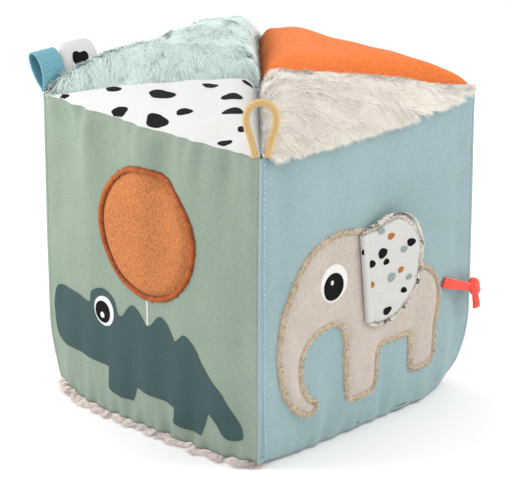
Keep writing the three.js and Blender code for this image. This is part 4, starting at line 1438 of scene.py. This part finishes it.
def add_tail():
    path = resampled(spline(TAIL_ROUTE, 10), 0.5 * MM)
    tones = []

    def flat(share):
        wide = np.interp(share, [0, 0.45, 0.6, 0.8, 1], [3.0, 2.3, 2.0, 1.75, 2.2])
        c, s = np.cos(around(40)), np.sin(around(40))
        x = np.sign(c) * np.abs(c) ** 0.8 * wide
        rib = np.cos(4 * np.pi * x / wide)
        y = np.sign(s) * np.abs(s) ** 0.55 * TAIL_THICK * (1 + 0.22 * rib)
        # painted light on the ribs and painted shade in the valleys between them
        tones.append(0.5 + 0.5 * rib)
        return np.stack([x, y], 1) * MM

    verts, faces = swept(path, (0, 0, 1), flat)
    ob = mesh_object("tail_elastic", verts, faces, MAT["coral_cord"])
    set_tone(ob.data, np.append(np.concatenate(tones), (0.5, 0.5)))
    place(ob, "elephant_tail", "coral_cord", "elephant_tail_cord", "elephant_tail_end")
    knot = add_knot()


KNOT = np.array((75.3, -87.2, 59.6))


def add_knot():
    """One wrapped turn of the elastic, drawn tight round the cord."""
    angles = np.linspace(-0.7, 2 * np.pi - 0.9, 60)
    lean = np.linspace(-1.6, 1.6, 60)
    x = 2.3 * np.cos(angles) + 0.4 * lean
    y = 1.3 * np.sin(angles + 1.2)
    z = 2.9 * np.sin(angles) + 0.3 * lean
    path = resampled((KNOT + np.stack([x, y, z], 1)) * MM, 0.5 * MM)

    def section(share):
        a = around(24)
        swell = 1.05 + 0.33 * math.sin(math.pi * share)
        ridged = 1 + 0.05 * np.cos(5 * a)
        return np.stack([np.cos(a) * 2.3, np.sin(a) * 1.5 * ridged], 1) * swell * MM

    verts, faces = swept(path, (0, -1, 0.2), section)
    ob = mesh_object("tail_knot", verts, faces, MAT["coral_cord"])
    applied(ob, Remesh=dict(mode="VOXEL", voxel_size=0.35 * MM), Smooth=dict(factor=0.6, iterations=5))
    ob.data.shade_smooth()
    set_tone(ob.data, np.full(len(ob.data.vertices), 0.6))
    return place(ob, "elephant_tail", "coral_cord", "elephant_tail_knot")


add_loop()
add_tail()

# Ribbon and tab on the teal wedge's top seam -----------------------------------------------------------

RIBBON_FROM, RIBBON_WIDTH = -79.0, 15.0
RIBBON_ROUTE = [
    (2.1, 0.2), (2.1, 1.5), (5.6, 5), (9, 10), (11.1, 15), (11.2, 18), (9, 19.4), (6, 18.4), (2.6, 14.6),
    (0.7, 9), (0.6, 2.6), (0.8, 0.2),
]


RIBBON_ORIGIN = np.array((RIBBON_FROM, 80.0, 165.0)) * MM
RIBBON_RIB = 1.15  # millimetres from one rib to the next
RIBBON_STEP = 0.2


def add_ribbon():
    """Grosgrain: close ribs across the ribbon, folded into a loop."""
    path = resampled(spline([(0.0, *q) for q in RIBBON_ROUTE], 10), RIBBON_STEP * MM)
    normal = np.cross(unit(np.gradient(path, axis=0)), (1.0, 0, 0))
    turns = np.pi * np.arange(len(path)) * RIBBON_STEP / RIBBON_RIB
    rib = np.abs(np.sin(turns)) ** 0.7
    middle = [(a, 1.0) for a in np.linspace(1.5, RIBBON_WIDTH - 1.5, 8)]
    edge = [(0.0, 0.7), (0.3, 1.1), (0.9, 1.0)]
    top = edge + middle + [(RIBBON_WIDTH - a, h) for a, h in reversed(edge)]
    columns = []
    for a, h in top + [(a, -h) for a, h in reversed(top)]:
        on_edge = a < 0.2 or a > RIBBON_WIDTH - 0.2
        p = RIBBON_ORIGIN + path + normal * (h * (0.2 + 0.35 * rib))[:, None] * MM
        p[:, 0] = (RIBBON_FROM + a + 0.10 * on_edge * np.sin(2 * turns)) * MM
        columns.append(p)
    n, m = len(path), len(columns)
    faces = []
    for k in range(m):
        l = (k + 1) % m
        faces += [(k * n + i, k * n + i + 1, l * n + i + 1, l * n + i) for i in range(n - 1)]
    faces += [tuple(k * n for k in range(m)), tuple(k * n + n - 1 for k in reversed(range(m)))]
    ob = mesh_object("ribbon_loop", np.concatenate(columns), faces, MAT["teal_ribbon"])
    # painted light on the ribs' crests and painted shade in the grooves between them
    set_tone(ob.data, np.tile(rib, m))
    place(ob, "teal_ribbon", "teal_ribbon", "teal_ribbon_loop")


TAB_FROM, TAB_WIDTH, TAB_LENGTH, TAB_LEAN = -61.0, 25.0, 21.0, math.radians(27)


TAB_FOOT = 1.6 * MM  # how far the tab starts outside the corner of its wedge


def tab_surface(ab, height):
    """Points of the tab: along the seam, out from it, and height off its middle."""
    ab = np.asarray(ab, float)
    off = height + 0.9 * MM * np.sin(np.pi * grown(ab[:, 1], 0, TAB_LENGTH))
    off += 0.3 * MM * np.sin(ab[:, 0] / (6 * MM))
    out, up = math.sin(TAB_LEAN), math.cos(TAB_LEAN)
    y = HALF + TAB_FOOT + ab[:, 1] * out - off * up
    z = SEAM_HIGH + TAB_FOOT + ab[:, 1] * up + off * out
    return np.stack([TAB_FROM * MM + ab[:, 0], y, z], 1)


def add_tab():
    w, l = TAB_WIDTH, TAB_LENGTH
    left = [(0.4, 0), (0.2, 5), (0.3, l - 7), (1.6, l - 2.4), (5.5, l - 0.3)]
    right = [(w - x, z) for x, z in reversed(left)]
    outline = counterclockwise(closed_curve(left + [(w / 2, l)] + right + [(w / 2, -0.8)], 1.2 * MM))
    points, faces, gap = filled(outline, 1.4 * MM)
    puff = 0.25 * MM + 0.75 * MM * np.sqrt(grown(gap, 0, 4))
    front, back = tab_surface(points, puff), tab_surface(points, -puff)
    n = len(points)
    faces = faces + [tuple(i + n for i in f[::-1]) for f in faces]
    rim = [(i, (i + 1) % len(outline)) for i in range(len(outline))]
    faces += [(b, a, a + n, b + n) for a, b in rim]
    ob = mesh_object("white_tab", np.vstack([front, back]), faces, MAT["spotted_cotton"])
    place(ob, "spotted_tab", "spotted_cotton", "spotted_tab")
    spot = print_on("white_tab_spots", [blob(11.5, 10.5, 10.5, 8.5, 81, 0.3, 0.16)],
                    lambda q, h: tab_surface(q, 1.0 * MM + h), "spotted_tab", "spotted_cotton", "black_print")


add_ribbon()
add_tab()

# Hinge strips and closure ------------------------------------------------------------------------------


STRIP_POINTS = 15  # across a strip


def strip_leg(wname, way, width, seam_point):
    """Points over a wedge's face from the edge of a strip up to the wedge's seam."""
    leg = []
    for inward, proud in ((width, -0.1), (width - 0.2, 0.22), (width / 2, 0.3), (0.1, 0.3)):
        beside = Vector(seam_point) - Vector((way * inward * MM, 0, 0))
        at, normal = surfaces[wname, "outer"].find_nearest(beside)[:2]
        leg.append(at + normal * proud * MM)
    return turned(leg, WEDGES[wname]["turn"])


def hinge_strip(name, node, one, two, sign, slot, width_one, width_two):
    """A sewn strip of cloth over a fold, from one wedge's face round the corner to the next one's."""
    rows = []
    for ends in zip(upright_seams[one, sign], upright_seams[two, -sign]):
        a = strip_leg(one, sign, width_one, ends[0])
        b = strip_leg(two, -sign, width_two, ends[1])[::-1]
        middle = (a[-1] + b[0]) / 2
        out = middle * (1, 1, 0)
        proud = min(0.42 * np.linalg.norm(a[-1] - b[0]) - 0.1 * MM, 1.0 * MM)
        middle += out / np.linalg.norm(out) * proud
        route = np.vstack([a, middle[None], b])
        s = travelled(route)
        at = np.linspace(0, s[-1], STRIP_POINTS)
        rows.append(np.stack([np.interp(at, s, route[:, k]) for k in range(3)], 1))
    ob = mesh_object(name, np.concatenate(rows), grid_faces(len(rows), STRIP_POINTS), MAT[slot])
    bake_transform(ob)
    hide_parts(node)


STITCH_COLUMN = -78.4 * MM
STITCH_LENGTH = 2.0 * MM
STITCH_PITCH = 2.9 * MM
STITCH_PROUD = 0.5 * MM


def add_stitches():
    """A row of short stitches down the blue face, beside the front fold."""
    parts = []
    wide = np.array([0.1, 0.26, 0.3, 0.26, 0.1]) * MM
    for z in np.arange(5 * MM, 164 * MM, STITCH_PITCH):
        centre = z + np.linspace(-0.5, 0.5, 5) * STITCH_LENGTH
        aside, up = tuck(np.full(5, STITCH_COLUMN), centre, "blue")
        rows = []
        for a, h in ((-1, -0.6), (-0.6, 0.7), (0.6, 0.7), (1, -0.6)):
            across = STITCH_COLUMN + aside + wide * a
            rows.append(blue_face(np.stack([across, centre + up], 1), STITCH_PROUD + wide * h))
        parts.append((np.concatenate(rows), grid_faces(len(rows), 5)))
    ob = mesh_object("front_stitches", *joined(parts), MAT["blue_stitch"])
    place(ob, "blue_wedge", "blue_cotton")


hinge_strip("front_strip", "front_hinge_strip", "blue", "green", -1, "blue_cotton", 1.5, 0.5)
hinge_strip("left_strip", "left_hinge_strip", "green", "teal", -1, "sage_cotton", 0.7, 0.7)
hinge_strip("right_strip", "right_hinge_strip", "blue", "orange", 1, "blue_cotton", 0.7, 0.7)
add_stitches()

TAPE_OUTLINE = [
    (-8, -35), (0, -35), (8, -35), (9.7, -33.3), (10, -30), (10, 0), (10, 30), (9.7, 33.3),
    (8, 35), (0, 35), (-8, 35), (-9.7, 33.3), (-10, 30), (-10, 0), (-10, -30), (-9.7, -33.3),
]
TAPE_HIGH = 85.5 * MM  # of the tape's middle
NAP = 2.6  # of the tape's loops, in radians per millimetre


def closure_patch(name, node, body, centre_along, degrees):
    """Hook-and-loop tape sewn flat on an inner face, with rows of loops."""
    points, faces, gap = filled(closed_curve(TAPE_OUTLINE, 1.0 * MM), 1.0 * MM)
    nap = 0.12 * MM * np.abs(np.sin(points[:, 0] / MM * NAP) * np.sin(points[:, 1] / MM * NAP))
    height = 0.25 * MM + 0.35 * MM * np.sqrt(grown(gap, 0, 0.8)) + nap
    verts = np.stack([centre_along * MM + points[:, 0], GAP - height, points[:, 1] + TAPE_HIGH], 1)
    ob = mesh_object(name, turned(verts, degrees), [f[::-1] for f in faces], MAT["closure_tape"])
    place(ob, body, "closure_tape", node)


closure_patch("closure_hooks", "closure_hook_patch", "orange_wedge", -94.0, 225.0)
closure_patch("closure_loops", "closure_loop_patch", "teal_wedge", 94.0, 45.0)

# CAD nodes that keep their own shape -------------------------------------------------------------------

for node, key in (("squeaker_bulb", "clear_plastic"), ("squeaker_reed", "clear_plastic"),
                  ("rattle_shell_lower", "clear_plastic"), ("rattle_shell_upper", "clear_plastic"),
                  ("rattle_ball", "rattle_bead")):
    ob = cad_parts[node]
    ob.data.materials.clear()
    ob.data.materials.append(MAT[key])

# Floor and light ---------------------------------------------------------------------------------------


def add_floor():
    n = Nodes("floor")
    n.finish((0.94, 0.94, 0.94, 1), None, 0.9, specular=0.1)
    size = 6
    floor = mesh_object("floor", [(-size, -size, 0), (size, -size, 0), (size, size, 0), (-size, size, 0)],
                        [(0, 1, 2, 3)], n.material, smooth=False)


def add_light(name, location, target, size, power):
    data = bpy.data.lights.new(name, "AREA")
    data.size = size
    data.energy = power
    aimed(linked(name, data), location, target)


def add_world():
    world = bpy.data.worlds.new("world")
    world.use_nodes = True
    background = world.node_tree.nodes["Background"]
    background.inputs["Color"].default_value = (1, 1, 1, 1)
    background.inputs["Strength"].default_value = 1.0
    scene.world = world


add_floor()
add_world()
add_light("key", location=(-0.32, 0.23, 0.31), target=(-0.06, 0, 0.10), size=0.3, power=1.1)
add_light("fill", location=(1.15, -1.45, 1.25), target=(0, 0, 0.08), size=0.9, power=16)
scene.view_settings.view_transform = "Standard"
